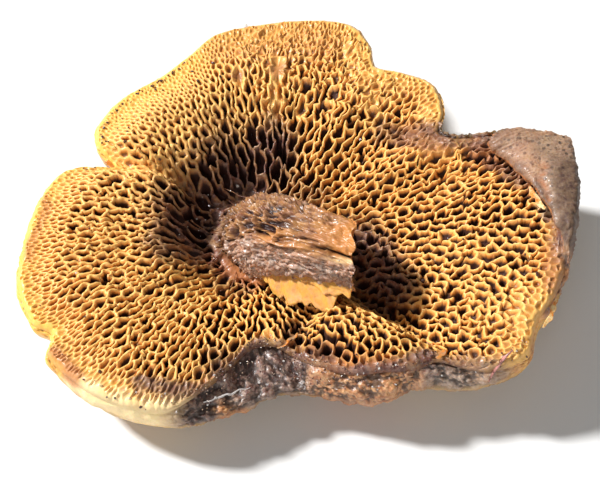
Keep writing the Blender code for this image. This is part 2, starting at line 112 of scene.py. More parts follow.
# Bearing, and how far the folded margin reaches inwards in mm
FOLD_REACHES = (
    (21.5, 0), (19.5, 3.5), (17.5, 7.4), (14, 10), (11, 9.5), (8.5, 8.6), (5, 7.3), (0, 5.4),
    (-3, 4.2), (-7, 2.8), (-11, 1.3), (-14, 0),
)
FOLD_THICKNESS = 0.7 * MM
FOLD_FULL_REACH = 3.0 * MM
FOLD_HOVER = 0.9 * MM
LIP_ROUNDING = 2.3
LIP_SINK = 0.6 * MM
LEAST_LIP = 0.17
FURTHEST_LAP = 2.6 * MM
OVERHANG_DROP = 0.9 * MM
LIP_TUCK = 0.4 * MM
LIP_SHARES = (0.16, 0.32, 0.48, 0.66, 0.84, 1.0)
LIP_STEPS = 6
UNDERSIDE_STEPS = 25
COLLAR_RADIUS = FOOT_RADIUS - 0.5 * MM
COLLAR_HEIGHT = FOOT_HEIGHT + 0.7 * MM
STEM_BEARING = math.radians(-28)
# The stem's middle line: mm away from the foot, height in mm and tilt in degrees
STEM_PATH = (
    (0, 2.3, 0), (0.1, 4.5, 12), (1, 7.2, 30), (3.6, 10, 52), (8, 11.4, 62), (13.4, 12.4, 66),
)
# Step of that line, and the stem's radius there in mm
STEM_RADII = ((0, 6.1), (1, 6.1), (2, 5.8), (3, 5.7), (4, 5.9), (5, 6.1))
STEM_BREAK = 12.8 * MM
STEM_PATH_STEPS = len(STEM_PATH) - 1
BREAK_DEPTH = 0.8 * MM

# The pores, by bearing: width by the stem, half way out and at the margin in mm, length over
# width, half a wall's thickness in mm, depth in mm, how far in from the margin they shrink in mm,
# and the share of its width that a pore keeps at its bottom
PORES = (
    (0, 1.15, 1.05, 0.75, 1.25, 0.09, 1.9, 3, 0.45), (18, 1.05, 0.72, 0.55, 2, 0.08, 1.5, 5, 0.5),
    (32, 1.05, 0.76, 0.52, 1.8, 0.10, 1.4, 6, 0.5), (50, 1.00, 0.86, 0.52, 1.8, 0.11, 1.7, 8, 0.55),
    (75, 1.00, 0.90, 0.48, 2.3, 0.12, 2.1, 15, 0.6), (95, 1.00, 0.88, 0.46, 2, 0.15, 1.8, 16, 0.55),
    (115, 1.10, 0.92, 0.46, 1.5, 0.20, 1.7, 15, 0.5), (135, 1.20, 0.92, 0.46, 1.4, 0.23, 1.5, 14, 0.46),
    (155, 1.10, 0.78, 0.46, 1.7, 0.19, 1.6, 8, 0.45), (180, 1.05, 0.78, 0.44, 2, 0.16, 2.1, 8, 0.46),
    (205, 0.95, 0.74, 0.44, 2.2, 0.15, 2.1, 8, 0.48), (225, 0.88, 0.72, 0.46, 2.4, 0.15, 1.4, 7.5, 0.48),
    (245, 0.86, 0.76, 0.56, 2.2, 0.12, 1.7, 4, 0.5), (270, 0.92, 0.86, 0.74, 1.6, 0.09, 2.1, 2, 0.55),
    (295, 1.15, 1.15, 0.90, 1.1, 0.08, 2.1, 2, 0.5), (315, 1.20, 1.10, 0.78, 1.1, 0.09, 1.8, 2, 0.45),
    (335, 1.20, 1.05, 0.74, 1.2, 0.10, 1.6, 3, 0.42),
)
# Extra wide pores: place in mm from the foot, and width in mm
WIDE_PORES = ((2.1, 25.2, 2), (-3.7, 24.2, 1.6), (-1.5, 12.5, 1.5), (8.6, 19.5, 1.4), (-19.5, 2.2, 1.2))
# Fixed starts, so that each run gives the same pores and the same noise
PORE_SEED = 7
NOISE_SEED = 11
PORE_TRIES = 150000
PORE_BUCKET = 2.2 * MM
SEEDS_PAST_EDGE = 4.2 * MM
NET_MARGIN = 0.22 * MM
STRIP_RADIUS = 20.0 * MM
STRIP_OVERLAP = 0.7
LEAST_FLESH = 3.0 * MM
# Depth in the tubes at which their painted shade is full
DARK_FROM = 1.6 * MM
SIDE_STEP = 0.4 * MM
SIDE_STEPS = 6
RIM_STATIONS = 320
MARGIN_STATIONS = 1080
STEM_RINGS = 170
STEM_SIDES = 250
# Sizes of the rings that close the torn end, as shares of its outline
END_RINGS = (0.93, 0.82, 0.68, 0.52, 0.36, 0.2)

# Soft patches on the surface, from, to and half width in mm from the foot, then strength
DAMP_AND_SHADE_PATCHES = (
    # The first two rows, and the row from (-7, 4) to (-1.5, 11), darken the hollow left of the stem: soaked
    # purple-brown tissue, partly painted shade of the hollow
    ((-9, 1), (-3.5, 9.5), 8, 1), ((-2, 11), (1.5, 14.5), 4.8, 1),
    ((-13, -3.5), (-9.5, 3), 4.2, 0.8), ((-6.5, -5), (-3, -8.5), 3, 0.5),
    ((3, 8.5), (7, 7), 3, 0.6), ((-4, -24.5), (6.5, -24), 4.6, 1),
    ((6, -24), (13, -28.5), 3.4, 0.9), ((3.8, -21), (5, -16), 1.7, 0.8),
    ((24, 14), (33.5, 11.8), 2.6, 0.9), ((-16, -26.5), (-9, -27), 1.5, 0.9),
    ((43.6, 4), (42.6, -7.5), 3, 1), ((38.5, 9.5), (41, 6.5), 1.5, 0.35),
    ((16, -25), (28, -23), 2, 0.7), ((33, 8.8), (37, 4.5), 1.3, 0.8),
    ((38.2, 2.9), (40.4, -2), 0.9, 0.9), ((43.8, -9.5), (41, -17), 1.8, 0.7),
    # The row from (14, -1) to (18, -9) is the painted shadow of the stem on the pores to its right
    ((14, -1), (18, -9), 4.8, 1), ((-7, 4), (-1.5, 11), 7, 0.9),
    ((2.1, 25.4), (2.4, 25), 1.4, 0.4), ((-3.9, 24), (-3.5, 24.4), 1.2, 0.4),
    ((41.5, -7), (40.8, -13.5), 1.9, 0.35), ((-27.6, -21), (-24.6, -24.6), 1.2, 0.2),
    ((18, 15.5), (24.5, 12.5), 2.2, 0.7),
)
GREY_PATCHES = (
    ((6, -27), (11, -29.5), 2.6, 0.7), ((22, -26.5), (31, -25.5), 2.8, 0.9),
    ((2, -28), (-3, -28), 2, 0.6),
)
BLUSH_PATCHES = (
    ((36, 7.5), (31, 10.5), 2, 0.8), ((10, -25.5), (20, -27), 3.8, 0.9),
    ((-28, -21.5), (-24.6, -25.2), 1.3, 0.8), ((40.5, -8.5), (41, -13), 2, 0.6),
    ((2.1, 25.4), (2.4, 25), 1.5, 0.4), ((-3.9, 24), (-3.5, 24.4), 1.3, 0.4),
    ((-5.5, -28.6), (-2, -28.4), 1.2, 1), ((21, 14.5), (25, 12), 2.4, 0.6),
    ((36.8, 8.4), (38.6, 4.4), 1.9, 0.9), ((-13, 1), (-10, -5), 2.4, 0.5),
    ((-31, 3), (-32.5, -6), 1.1, 0.6), ((8, -21), (18, -24.5), 1.8, 0.6),
    ((-7, -3), (-1, -7.4), 1.7, 1), ((34, 11), (43, 11.4), 0.9, 0.7),
    ((17.5, -25), (20.5, -28.5), 2.6, 1), ((43.8, -9), (41.6, -16), 2.2, 0.8),
    ((41, -16), (37.5, -21.5), 1.6, 0.6), ((-6, 31), (8, 31), 5, 0.35),
)
CREAM_PATCHES = (
    ((-26, -26.5), (-16, -31), 2.6, 1), ((-16, -31), (-5, -29.5), 3, 1),
    ((42, -14.5), (38.5, -20.5), 1.4, 0.6), ((39, 0.8), (40, -1.2), 0.9, 1),
)
# Where the pores are closed and their walls matted, or crumpled
MATTED_PATCHES = (
    ((-16, 9.2), (-10.5, 7.6), 1.5, 0.9), ((1, 17), (1.6, 21), 1.3, 0.8),
    ((2.1, 25.3), (2.3, 25.1), 1.5, 0.55), ((-3.9, 24), (-3.5, 24.4), 1.3, 0.55),
    ((-12.5, 1), (-10, -4.5), 2, 0.8), ((16, 20), (18, 16), 1.5, 0.5),
    ((26, -3), (31, -6), 1.6, 0.4), ((-16.5, -25.8), (-10, -25.8), 1, 0.9),
    ((35, -11), (36, -14), 1.8, 0.6),
)
CRUMPLED_PATCHES = (
    ((0, 29), (12, 28), 5.5, 1), ((2, 23), (16, 22), 5.5, 0.9),
    ((22, 16), (28, 9), 3.5, 0.7), ((30, -16), (35, -20), 4, 0.8),
)
# The crack in the folded skin, in mm from the foot
CRACK = ((39.3, 6), (40, 4.8), (39.6, 3.8), (39.2, 2.8), (39.6, 1.3), (40.1, -0.8))


def smooth_through(knots, x, period=None):
    """A smooth curve through (place, value) knots, level at every peak and dip."""
    if period:
        first, last = knots[0], knots[-1]
        knots = [(last[0] - period, last[1])] + list(knots) + [(first[0] + period, first[1])]
        knots = [(knots[0][0] - 20.0, knots[0][1])] + knots + [(knots[-1][0] + 20.0, knots[-1][1])]
        x %= period
    if x <= knots[0][0]:
        return knots[0][1]
    if x >= knots[-1][0]:
        return knots[-1][1]
    i = next(k for k in range(len(knots) - 1) if knots[k + 1][0] >= x)
    slopes = [(b[1] - a[1]) / (b[0] - a[0]) for a, b in zip(knots, knots[1:])]

    def tangent(k):
        if k == 0 or k == len(knots) - 1:
            return 0.0
        before, after = slopes[k - 1], slopes[k]
        return 0.0 if before * after <= 0.0 else 2.0 * before * after / (before + after)

    (x0, y0), (x1, y1) = knots[i], knots[i + 1]
    h = x1 - x0
    s = (x - x0) / h
    rise = y0 * (1 + 2 * s) * (1 - s) ** 2 + y1 * s * s * (3 - 2 * s)
    return rise + h * s * (1 - s) * ((1 - s) * tangent(i) - s * tangent(i + 1))


class BearingCurve:
    """A smooth closed curve of the bearing through one column of the rows."""

    steps = 4

    def __init__(self, rows, column=1, unit=1.0):
        knots = [(row[0], row[column]) for row in rows]
        count = 360 * self.steps + 2
        self.values = [unit * smooth_through(knots, k / self.steps, 360) for k in range(count)]

    def __call__(self, bearing):
        at = (bearing % 360) * self.steps
        k = int(at)
        return self.values[k] + (at - k) * (self.values[k + 1] - self.values[k])

    def many(self, bearings):
        return np.interp(bearings % 360 * self.steps, np.arange(len(self.values)), self.values)


def ripple(point, size):
    """Noise at a point, with waves about as long as a size in mm."""
    return noise.noise(point / (size * MM))


def noise_at(*spot):
    return noise.noise(Vector(spot))


def soft_step(low, high, x):
    """0 below low, 1 above high and smooth between them."""
    s = min(1.0, max(0.0, (x - low) / (high - low)))
    return s * s * (3 - 2 * s)


outer_radius = BearingCurve(OUTLINE, unit=MM)
outer_height = BearingCurve(OUTER_HEIGHTS, unit=MM)
bare_width = BearingCurve(BARE_WIDTHS, unit=MM)
surface_columns = [BearingCurve(SURFACE_HEIGHTS, column) for column in (1, 2, 3)]
pore_columns = [BearingCurve(PORES, column) for column in range(1, 9)]
PORE_ASPECT = pore_columns[3]
PORE_BELT = pore_columns[6]


def pore_edge(bearing):
    return outer_radius(bearing) - bare_width(bearing)


def pore_edge_of(bearings):
    return outer_radius.many(bearings) - bare_width.many(bearings)


def way_out(bearing, radius):
    """0 at the stem's foot and 1 at the edge of the pores."""
    return (radius - FOOT_RADIUS) / (pore_edge(bearing) - FOOT_RADIUS)


def dish_height(bearing, radius):
    """Height of the pore surface before its folds and mounds."""
    heights = [FOOT_HEIGHT / MM] + [read(bearing) for read in surface_columns]
    return smooth_through(list(zip(SURFACE_STEPS, heights)), way_out(bearing, radius)) * MM


def beside(x, y, start, end):
    """Distance of a point from a short line, in mm from the foot."""
    along_x, along_y = end[0] - start[0], end[1] - start[1]
    share = ((x - start[0]) * along_x + (y - start[1]) * along_y) / (along_x ** 2 + along_y ** 2)
    share = min(1.0, max(0.0, share))
    return math.hypot(x - start[0] - share * along_x, y - start[1] - share * along_y)


def from_crack(x, y):
    return min(beside(x, y, a, b) for a, b in zip(CRACK, CRACK[1:]))


def relief(x, y):
    """Folds, mounds and clefts, each a soft ridge or valley along a short line."""
    total = UNDULATION * noise.noise(Vector((x, y, 0.0)) / UNDULATION_LENGTH)
    for start, end, half_width, height in RELIEFS:
        total += height * MM * math.exp(-(beside(x / MM, y / MM, start, end) / half_width) ** 2)
    return total


def tube_foot(bearing, radius):
    """Height where the tubes end on the flesh."""
    tube = smooth_through(TUBE_LENGTHS, way_out(bearing, radius)) * MM
    top = surface_height(bearing, radius)
    return max(DISH_FLOOR + GAP, min(dish_height(bearing, radius) - tube, top - LEAST_FLESH))


def surface_height(bearing, radius):
    """Height of the pore surface above the ground."""
    turn = math.radians(bearing)
    share = way_out(bearing, radius)
    fade = min(1.0, max(0.0, share / 0.12)) * min(1.0, max(0.15, (1.12 - share) / 0.3))
    return dish_height(bearing, radius) + relief(radius * math.cos(turn), radius * math.sin(turn)) * fade


def place(bearing, radius, height):
    turn = math.radians(bearing)
    return Vector((FOOT[0] + radius * math.cos(turn), FOOT[1] + radius * math.sin(turn), height))


def polar(x, y):
    """Bearing and radius about the foot of a place on the ground."""
    return math.degrees(math.atan2(y - FOOT[1], x - FOOT[0])) % 360, math.hypot(x - FOOT[0], y - FOOT[1])


def margin_bearings(count):
    """Bearings of equal steps along the margin, so that lobes and notches get their share."""
    fine = 1440
    length = [0.0]
    for k in range(fine):
        a = place(360 * k / fine, outer_radius(360 * k / fine), 0.0)
        b = place(360 * (k + 1) / fine, outer_radius(360 * (k + 1) / fine), 0.0)
        length.append(length[-1] + (b - a).length)
    bearings = []
    k = 0
    for step in range(count):
        wanted = length[-1] * step / count
        while length[k + 1] <= wanted:
            k += 1
        bearings.append(360 * (k + (wanted - length[k]) / (length[k + 1] - length[k])) / fine)
    return bearings


def nearness(x, y, patches):
    """How far a place, in mm from the foot, lies in any of the soft patches, 0 to 1."""
    best = 0.0
    for start, end, half_width, strength in patches:
        away = beside(x, y, start, end) / half_width
        if away < 1.3:
            best = max(best, strength * (1.0 - soft_step(0.35, 1.3, away)))
    return best


def patch_strengths(places, patches):
    """The same for many places at once."""
    best = np.zeros(len(places))
    for start, end, half_width, strength in patches:
        start = np.array(start)
        line = np.array(end) - start
        share = np.clip((places - start) @ line / (line @ line), 0.0, 1.0)
        away = np.linalg.norm(places - start - share[:, None] * line, axis=1) / half_width
        s = np.clip((away - 0.35) / 0.95, 0.0, 1.0)
        best = np.maximum(best, strength * (1.0 - s * s * (3 - 2 * s)))
    return best


def rim_reach(bearing):
    """How far the pore layer's edge laps over the lip, and 1 where that edge stands over the near skin."""
    overhang = soft_step(248, 256, bearing) * (1 - soft_step(300, 318, bearing))
    return min(FURTHEST_LAP, (1 - LEAST_LIP) * bare_width(bearing)) * (1 - 0.6 * overhang), overhang


def top_height(bearing, radius):
    """Height of the upper surface, from the foot out over the margin to the outermost skin."""
    edge = pore_edge(bearing)
    if radius <= edge:
        return surface_height(bearing, radius)
    low = outer_height(bearing)
    share = min(1.0, (radius - edge) / (outer_radius(bearing) - edge))
    drop = (1.0 - share ** LIP_ROUNDING) ** (1.0 / LIP_ROUNDING)
    return low + (surface_height(bearing, edge) - low) * drop


def length_property(name, description, default):
    """A length that a user may change, with its default in mm."""
    return bpy.props.FloatProperty(
        name=name, description=description, default=default * MM, min=0.0, max=1.0 * MM, unit="LENGTH")


def on_surface(x, y, lift=0.0):
    """A place in mm from the foot, on the upper surface or a little above it."""
    bearing, radius = polar(FOOT[0] + x * MM, FOOT[1] + y * MM)
    return place(bearing, radius, top_height(bearing, radius) + lift)


class MushroomSizes(bpy.types.PropertyGroup):
    """Sizes of the fine shapes that the solids leave out."""

    pore_size: bpy.props.FloatProperty(
        name="Pore size", description="Width of the pores over their usual width",
        default=1.0, min=0.7, max=2.0, subtype="FACTOR")
    wall_wave: length_property("Wall wave", "How far the tube walls wander sideways", 0.42)
    crest_peaks: length_property("Crest peaks", "How far the walls rise where they meet", 0.3)
    skin_wrinkle: length_property("Skin wrinkle", "Height of the wrinkles of the cap's skin", 0.22)
    grit_height: length_property("Grit height", "Height of the soil that clings to the wet skin", 0.35)
    stem_fibre: length_property("Stem fibre", "Height of the fibres and net along the stem", 0.3)
    camera_height: bpy.props.FloatProperty(
        name="Camera elevation", description="Angle of the camera above the floor",
        default=math.radians(60), subtype="ANGLE")


def colour_property(name, description, default):
    return bpy.props.FloatVectorProperty(
        name=name, description=description, default=default, size=3, min=0.0, max=1.0, subtype="COLOR")


class MushroomColours(bpy.types.PropertyGroup):
    """Colours of the flesh, the skin and what lies on them."""

    # Paler than the tube wall: partly the crests' own colour, partly painted glow of the lit crests
    crest: colour_property("Wall crest", "Thin upper edge of a tube wall", (0.93, 0.52, 0.15))
    wall: colour_property("Tube wall", "Inside of a tube", (0.68, 0.235, 0.03))
    # Painted shade: near black laid by the depth mark in the tube bottoms, the dimples and crevices of the
    # skin and the stem's pits
    depth: colour_property("Tube bottom", "Bottom of a tube", (0.035, 0.009, 0.006))
    rim: colour_property("Fresh rim", "Young tissue along the margin", (0.92, 0.52, 0.085))
    # Also laid as painted shade: the stem's shadow on the pores to its right, and part of the hollow's dark
    damp: colour_property("Soaked tissue", "Bruised and soaked tissue", (0.125, 0.04, 0.029))
    grey: colour_property("Dry skin", "Grey-brown dry skin", (0.38, 0.23, 0.125))
    blush: colour_property("Bruise", "Orange-brown bruise", (0.56, 0.20, 0.06))
    cream: colour_property("Peeled margin", "Smooth cream flesh of the margin", (1.0, 0.73, 0.37))
    skin: colour_property("Cap skin", "Skin of the cap's upper side", (0.66, 0.39, 0.08))
    scale: colour_property("Skin scale", "Flat fibrous scales on the cap", (0.27, 0.10, 0.035))
    stem: colour_property("Stem", "Netted surface of the stem", (0.34, 0.15, 0.065))
    torn: colour_property("Torn flesh", "Freshly torn orange flesh", (0.54, 0.22, 0.048))
    soil: colour_property("Soil", "Dark soil grains", (0.03, 0.02, 0.018))
    sand: colour_property("Sand", "Pale sand grains", (0.66, 0.50, 0.39))
    needle: colour_property("Needle", "Pink-brown needle", (0.62, 0.26, 0.22))
    floor: colour_property("Floor", "Plain pale floor", (0.86, 0.86, 0.85))


def sizes():
    return bpy.context.scene.mushroom_sizes


def colours():
    return bpy.context.scene.mushroom_colours


# Shader nodes
def add(tree, kind, inputs=(), **settings):
    """A shader node with its settings made and its inputs set or linked: its outputs."""
    made = tree.nodes.new("ShaderNode" + kind)
    for name, value in settings.items():
        setattr(made, name, value)
    for key, value in dict(inputs).items():
        if isinstance(value, bpy.types.NodeSocket):
            tree.links.new(value, made.inputs[key])
        else:
            made.inputs[key].default_value = value
    return made.outputs


def mix(tree, share, first, second):
    """A colour between two, each a socket or a colour property."""
    first, second = (c if isinstance(c, bpy.types.NodeSocket) else (*c, 1.0) for c in (first, second))
    return add(tree, "Mix", {0: share, 6: first, 7: second}, data_type="RGBA")[2]


def stain(tree, base, title, colour, share=None):
    """A base colour that turns to another where an attribute is high."""
    mask = attribute(tree, title)
    return mix(tree, mask if share is None else times(tree, mask, share), base, colour)


def band(tree, value, low, high, to_low=0.0, to_high=1.0):
    """A value taken smoothly from one range to another."""
    return add(tree, "MapRange", {"Value": value, "From Min": low, "From Max": high, "To Min": to_low,
                                  "To Max": to_high}, interpolation_type="SMOOTHSTEP")[0]


def maths(tree, operation, first, second=0.0):
    return add(tree, "Math", {0: first, 1: second}, operation=operation)[0]


def times(tree, first, second):
    return maths(tree, "MULTIPLY", first, second)


def attribute(tree, name):
    return add(tree, "Attribute", attribute_name=name)["Fac"]


def group_of(name, inputs, output, build):
    """A shader node group with number inputs and one output, built once."""
    known = bpy.data.node_groups.get(name)
    if known:
        return known
    tree = bpy.data.node_groups.new(name, "ShaderNodeTree")
    for title, default in inputs.items():
        socket = tree.interface.new_socket(title, in_out="INPUT", socket_type="NodeSocketFloat")
        socket.default_value = default
    tree.interface.new_socket(output, in_out="OUTPUT", socket_type="NodeSocketFloat")
    given = tree.nodes.new("NodeGroupInput").outputs
    result = tree.nodes.new("NodeGroupOutput").inputs
    coords = add(tree, "TexCoord")["Object"]
    tree.links.new(build(tree, given, coords), result[output])
    return tree


def mottle_nodes(tree, given, coords):
    """Cloudy patches in two sizes."""
    broad = add(tree, "TexNoise", {"Vector": coords, "Scale": given["Scale"], "Detail": 3.0})[0]
    fine_scale = times(tree, given["Scale"], 5.3)
    fine = add(tree, "TexNoise", {"Vector": coords, "Scale": fine_scale, "Detail": 2.0})[0]
    both = maths(tree, "ADD", times(tree, broad, 0.65), times(tree, fine, 0.35))
    return band(tree, both, given["Low"], given["High"])


def moist_nodes(tree, given, coords):
    """Small lumps and beads of a wet surface."""
    lumps = add(tree, "TexNoise", {"Vector": coords, "Scale": given["Lump scale"], "Detail": 3.0})[0]
    beads = add(tree, "TexVoronoi", {"Vector": coords, "Scale": given["Bead scale"]}, feature="SMOOTH_F1")[0]
    beads = times(tree, maths(tree, "SUBTRACT", 1.0, beads), given["Bead share"])
    return maths(tree, "ADD", lumps, beads)


def speck_nodes(tree, given, coords):
    """Scattered small spots."""
    cells = add(tree, "TexVoronoi", {"Vector": coords, "Scale": given["Scale"], "Randomness": 1.0})
    spot = band(tree, cells["Distance"], given["Size"], times(tree, given["Size"], 0.6))
    chosen = add(tree, "TexWhiteNoise", {"Vector": cells["Position"]})[0]
    return times(tree, spot, maths(tree, "LESS_THAN", chosen, given["Share"]))


def mottle(tree, scale, low=0.38, high=0.62):
    group = group_of("Mottle", {"Scale": 300.0, "Low": 0.38, "High": 0.62}, "Mask", mottle_nodes)
    return add(tree, "Group", {"Scale": scale, "Low": low, "High": high}, node_tree=group)[0]


def moist(tree, lump_scale, bead_scale, bead_share):
    inputs = {"Lump scale": 2000.0, "Bead scale": 2500.0, "Bead share": 0.5}
    group = group_of("Moist relief", inputs, "Height", moist_nodes)
    values = {"Lump scale": lump_scale, "Bead scale": bead_scale, "Bead share": bead_share}
    return add(tree, "Group", values, node_tree=group)[0]


def specks(tree, scale, size, share):
    group = group_of("Specks", {"Scale": 800.0, "Size": 0.3, "Share": 0.3}, "Mask", speck_nodes)
    return add(tree, "Group", {"Scale": scale, "Size": size, "Share": share}, node_tree=group)[0]


def new_material(name, colour, roughness, relief=None, **constants):
    """A Principled material. colour(tree) and roughness(tree) give sockets.

    The relief is the scale of its lumps and of its beads, the beads' share, strength and depth in mm.
    """
    material = bpy.data.materials.new(name)
    material.use_nodes = True
    tree = material.node_tree
    shader = tree.nodes["Principled BSDF"]
    for title, value in constants.items():
        shader.inputs[title.replace("_", " ")].default_value = value
    for title, build in (("Base Color", colour), ("Roughness", roughness)):
        if callable(build):
            tree.links.new(build(tree), shader.inputs[title])
        else:
            shader.inputs[title].default_value = build
    if relief:
        lumps, beads, share, strength, depth = relief
        height = moist(tree, lumps, beads, share)
        normal = add(tree, "Bump", {"Strength": strength, "Distance": depth * MM, "Height": height})[0]
        tree.links.new(normal, shader.inputs["Normal"])
    return material


def tissue_tint(tree, base):
    """The shared stains of the flesh over a base colour: fresh rim, bruises, soaked and dry patches. The
    soaked patches also hold the painted shadow of the stem and part of the hollow's painted shade.
    """
    tone = colours()
    clouds = mottle(tree, 420.0)
    result = stain(tree, base, "rim", tone.rim, mottle(tree, 1900.0, 0.2, 0.55))
    result = stain(tree, result, "cream", tone.cream)
    result = stain(tree, result, "blush", tone.blush)
    result = stain(tree, result, "grey", tone.grey, band(tree, clouds, 0, 1, 0.7, 1))
    soaked = mix(tree, mottle(tree, 1500.0), tone.damp, mix(tree, 0.22, tone.damp, tone.sand))
    return stain(tree, result, "damp", soaked, band(tree, clouds, 0, 1, 0.78, 1))


def flesh_colour(tree):
    """Tube walls and margin: pale on the crests, partly painted glow, golden on the slopes and near black at
    the bottom. The darkening down the tubes, by the depth mark, is painted shade.
    """
    tone = colours()
    depth = attribute(tree, "depth")
    wall = mix(tree, band(tree, depth, 0.0, 0.25), tone.crest, tone.wall)
    wall = mix(tree, times(tree, mottle(tree, 800.0), 0.5), wall, tone.crest)
    stained = tissue_tint(tree, wall)
    return mix(tree, band(tree, depth, 0.12, 0.6, 0.0, 0.985), stained, tone.depth)


def skin_colour(tree):
    tone = colours()
    clouds = mottle(tree, 260.0)
    blush = attribute(tree, "blush")
    skin = mix(tree, clouds, tone.skin, mix(tree, 0.35, tone.skin, tone.rim))
    skin = stain(tree, skin, "scales", tone.scale)
    skin = mix(tree, blush, skin, tone.blush)
    blotches = maths(tree, "MAXIMUM", specks(tree, 1300.0, 0.42, 0.6), mottle(tree, 1700.0, 0.53, 0.66))
    dry = mix(tree, mottle(tree, 500.0), tone.grey, mix(tree, 0.5, tone.grey, tone.damp))
    dry = mix(tree, times(tree, mottle(tree, 2600.0), 0.3), dry, tone.sand)
    dry = mix(tree, times(tree, blotches, 0.75), dry, tone.soil)
    brown, tan = mix(tree, 0.6, tone.damp, tone.soil), mix(tree, 0.55, tone.grey, tone.soil)
    olive = mix(tree, mottle(tree, 1500.0, 0.32, 0.6), brown, tan)
    olive = mix(tree, times(tree, specks(tree, 900.0, 0.28, 0.4), 0.85), olive, tone.depth)
    dry = stain(tree, dry, "damp", olive)
    dry = mix(tree, blush, dry, mix(tree, 0.35, tone.blush, tone.damp))
    skin = stain(tree, skin, "fold", dry)
    base = stain(tree, flesh_colour(tree), "skin", skin)
    crumbs = mottle(tree, 1700.0, 0.35, 0.65)
    soiled = mix(tree, crumbs, tone.damp, mix(tree, 0.52, tone.damp, tone.sand))
    soiled = mix(tree, times(tree, mottle(tree, 380.0, 0.47, 0.62), 0.4), soiled, tone.soil)
    pale = mix(tree, mottle(tree, 1300.0), tone.sand, tone.grey)
    soiled = stain(tree, soiled, "grey", pale, 0.8)
    warm = mix(tree, crumbs, mix(tree, 0.3, tone.blush, tone.damp), mix(tree, 0.35, tone.blush, tone.cream))
    soiled = mix(tree, times(tree, blush, 0.9), soiled, warm)
    # Painted shade: the crevices of the soiled skin darken towards the soil colour by the depth mark
    soiled = mix(tree, band(tree, attribute(tree, "depth"), 0.1, 0.7, 0.0, 0.75), soiled, tone.soil)
    return stain(tree, base, "grit", soiled)


def stem_colour(tree):
    tone = colours()
    tan = mix(tree, mottle(tree, 500.0), tone.stem, mix(tree, 0.3, tone.stem, tone.crest))
    tan = mix(tree, times(tree, mottle(tree, 1300.0), 0.6), tan, tone.damp)
    torn = mix(tree, mottle(tree, 900.0), tone.torn, mix(tree, 0.5, tone.torn, tone.blush))
    base = stain(tree, tan, "torn", torn)
    raw = mix(tree, mottle(tree, 1100.0), mix(tree, 0.5, tone.blush, tone.damp), tone.torn)
    base = stain(tree, base, "blush", raw)
    base = stain(tree, base, "cream", tone.cream, 0.6)
    grains = mix(tree, mottle(tree, 2200.0, 0.36, 0.56), tone.damp, mix(tree, 0.75, tone.damp, tone.sand))
    grains = mix(tree, times(tree, mottle(tree, 650.0), 0.45), grains, tone.blush)
    grains = mix(tree, times(tree, mottle(tree, 1500.0, 0.5, 0.65), 0.45), grains, tone.soil)
    base = stain(tree, base, "damp", grains)
    # Painted shade: towards the tube-bottom colour by the depth mark, in the pits, the slit and at the foot
    return mix(tree, band(tree, attribute(tree, "depth"), 0.2, 0.9), base, tone.depth)


def torn_colour(tree):
    tone = colours()
    pale = mix(tree, mottle(tree, 1500.0), mix(tree, 0.25, tone.torn, tone.cream), tone.torn)
    return mix(tree, mottle(tree, 600.0), mix(tree, 0.5, tone.torn, tone.rim), pale)


def two_tones(first, second, scale):
    """Cloudy patches of two of the colours."""
    tone = colours()
    return lambda tree: mix(tree, mottle(tree, scale), getattr(tone, first), getattr(tone, second))


def wet_roughness(low, high, scale):
    return lambda tree: band(tree, mottle(tree, scale, 0.3, 0.7), 0.0, 1.0, low, high)


def dulled(low, high, scale, title, dull):
    """Wet roughness that turns dull where an attribute is high."""
    wet = wet_roughness(low, high, scale)

    def build(tree):
        return maths(tree, "MAXIMUM", wet(tree), times(tree, attribute(tree, title), dull))

    return build


def soft_flesh(share, scale, coat, coat_roughness=0.15, radius=(1.0, 0.5, 0.2)):
    """The light that enters wet flesh, to a depth in mm, and the wet film on it."""
    return {"Subsurface_Weight": share, "Subsurface_Scale": scale * MM, "Subsurface_Radius": radius,
            "Coat_Weight": coat, "Coat_Roughness": coat_roughness}


# Meshes
def finish_piece(name, mesh_data, material, replaces=None, attributes=(), recalculate=True):
    """A piece from a bmesh: closed, facing out, shaded smooth, riding on the one body."""
    if recalculate:
        bmesh.ops.recalc_face_normals(mesh_data, faces=mesh_data.faces)
    mesh = bpy.data.meshes.new(name)
    mesh_data.to_mesh(mesh)
    mesh_data.free()
    obj = bpy.data.objects.new(name, mesh)
    bpy.context.scene.collection.objects.link(obj)
    return dress(obj, material, replaces, attributes)


def dress(obj, material, replaces=None, attributes=()):
    mesh = obj.data
    mesh.shade_smooth()
    mesh.materials.clear()
    mesh.materials.append(material)
    for title, values in dict(attributes).items():
        layer = mesh.attributes.new(title, "FLOAT", "POINT")
        layer.data.foreach_set("value", np.asarray(values, np.float32))
    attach(obj, "root")
    if replaces:
        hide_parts(replaces)
    return obj


def primitive(kind, **settings):
    """A new primitive, with nothing else selected."""
    bpy.ops.object.select_all(action="DESELECT")
    getattr(bpy.ops.mesh, f"primitive_{kind}_add")(**settings)
    return bpy.context.object


def thin_sheet(name, columns, rows, thickness, bend):
    """A grid that bend(along, out), both from 0 to 1, sets in its place, with a thickness."""
    sheet = primitive("grid", x_subdivisions=columns, y_subdivisions=rows, size=1.0)
    sheet.name = name
    for v in sheet.data.vertices:
        v.co = bend(v.co.x + 0.5, v.co.y + 0.5)
    solid = sheet.modifiers.new("thickness", "SOLIDIFY")
    solid.thickness = thickness
    solid.offset = 0.0
    bpy.ops.object.modifier_apply(modifier=solid.name)
    return sheet


def model_to_copy(obj):
    """The corners and faces of a model, which itself is taken away.

    A sphere's faces come in another order each run. Each is made to start at its lowest corner,
    and all are sorted, so that every run gives the same mesh.
    """
    corners = np.array([v.co for v in obj.data.vertices])
    rings = [tuple(p.vertices) for p in obj.data.polygons]
    faces = sorted(ring[ring.index(min(ring)):] + ring[:ring.index(min(ring))] for ring in rings)
    bpy.data.objects.remove(obj)
    return corners, faces


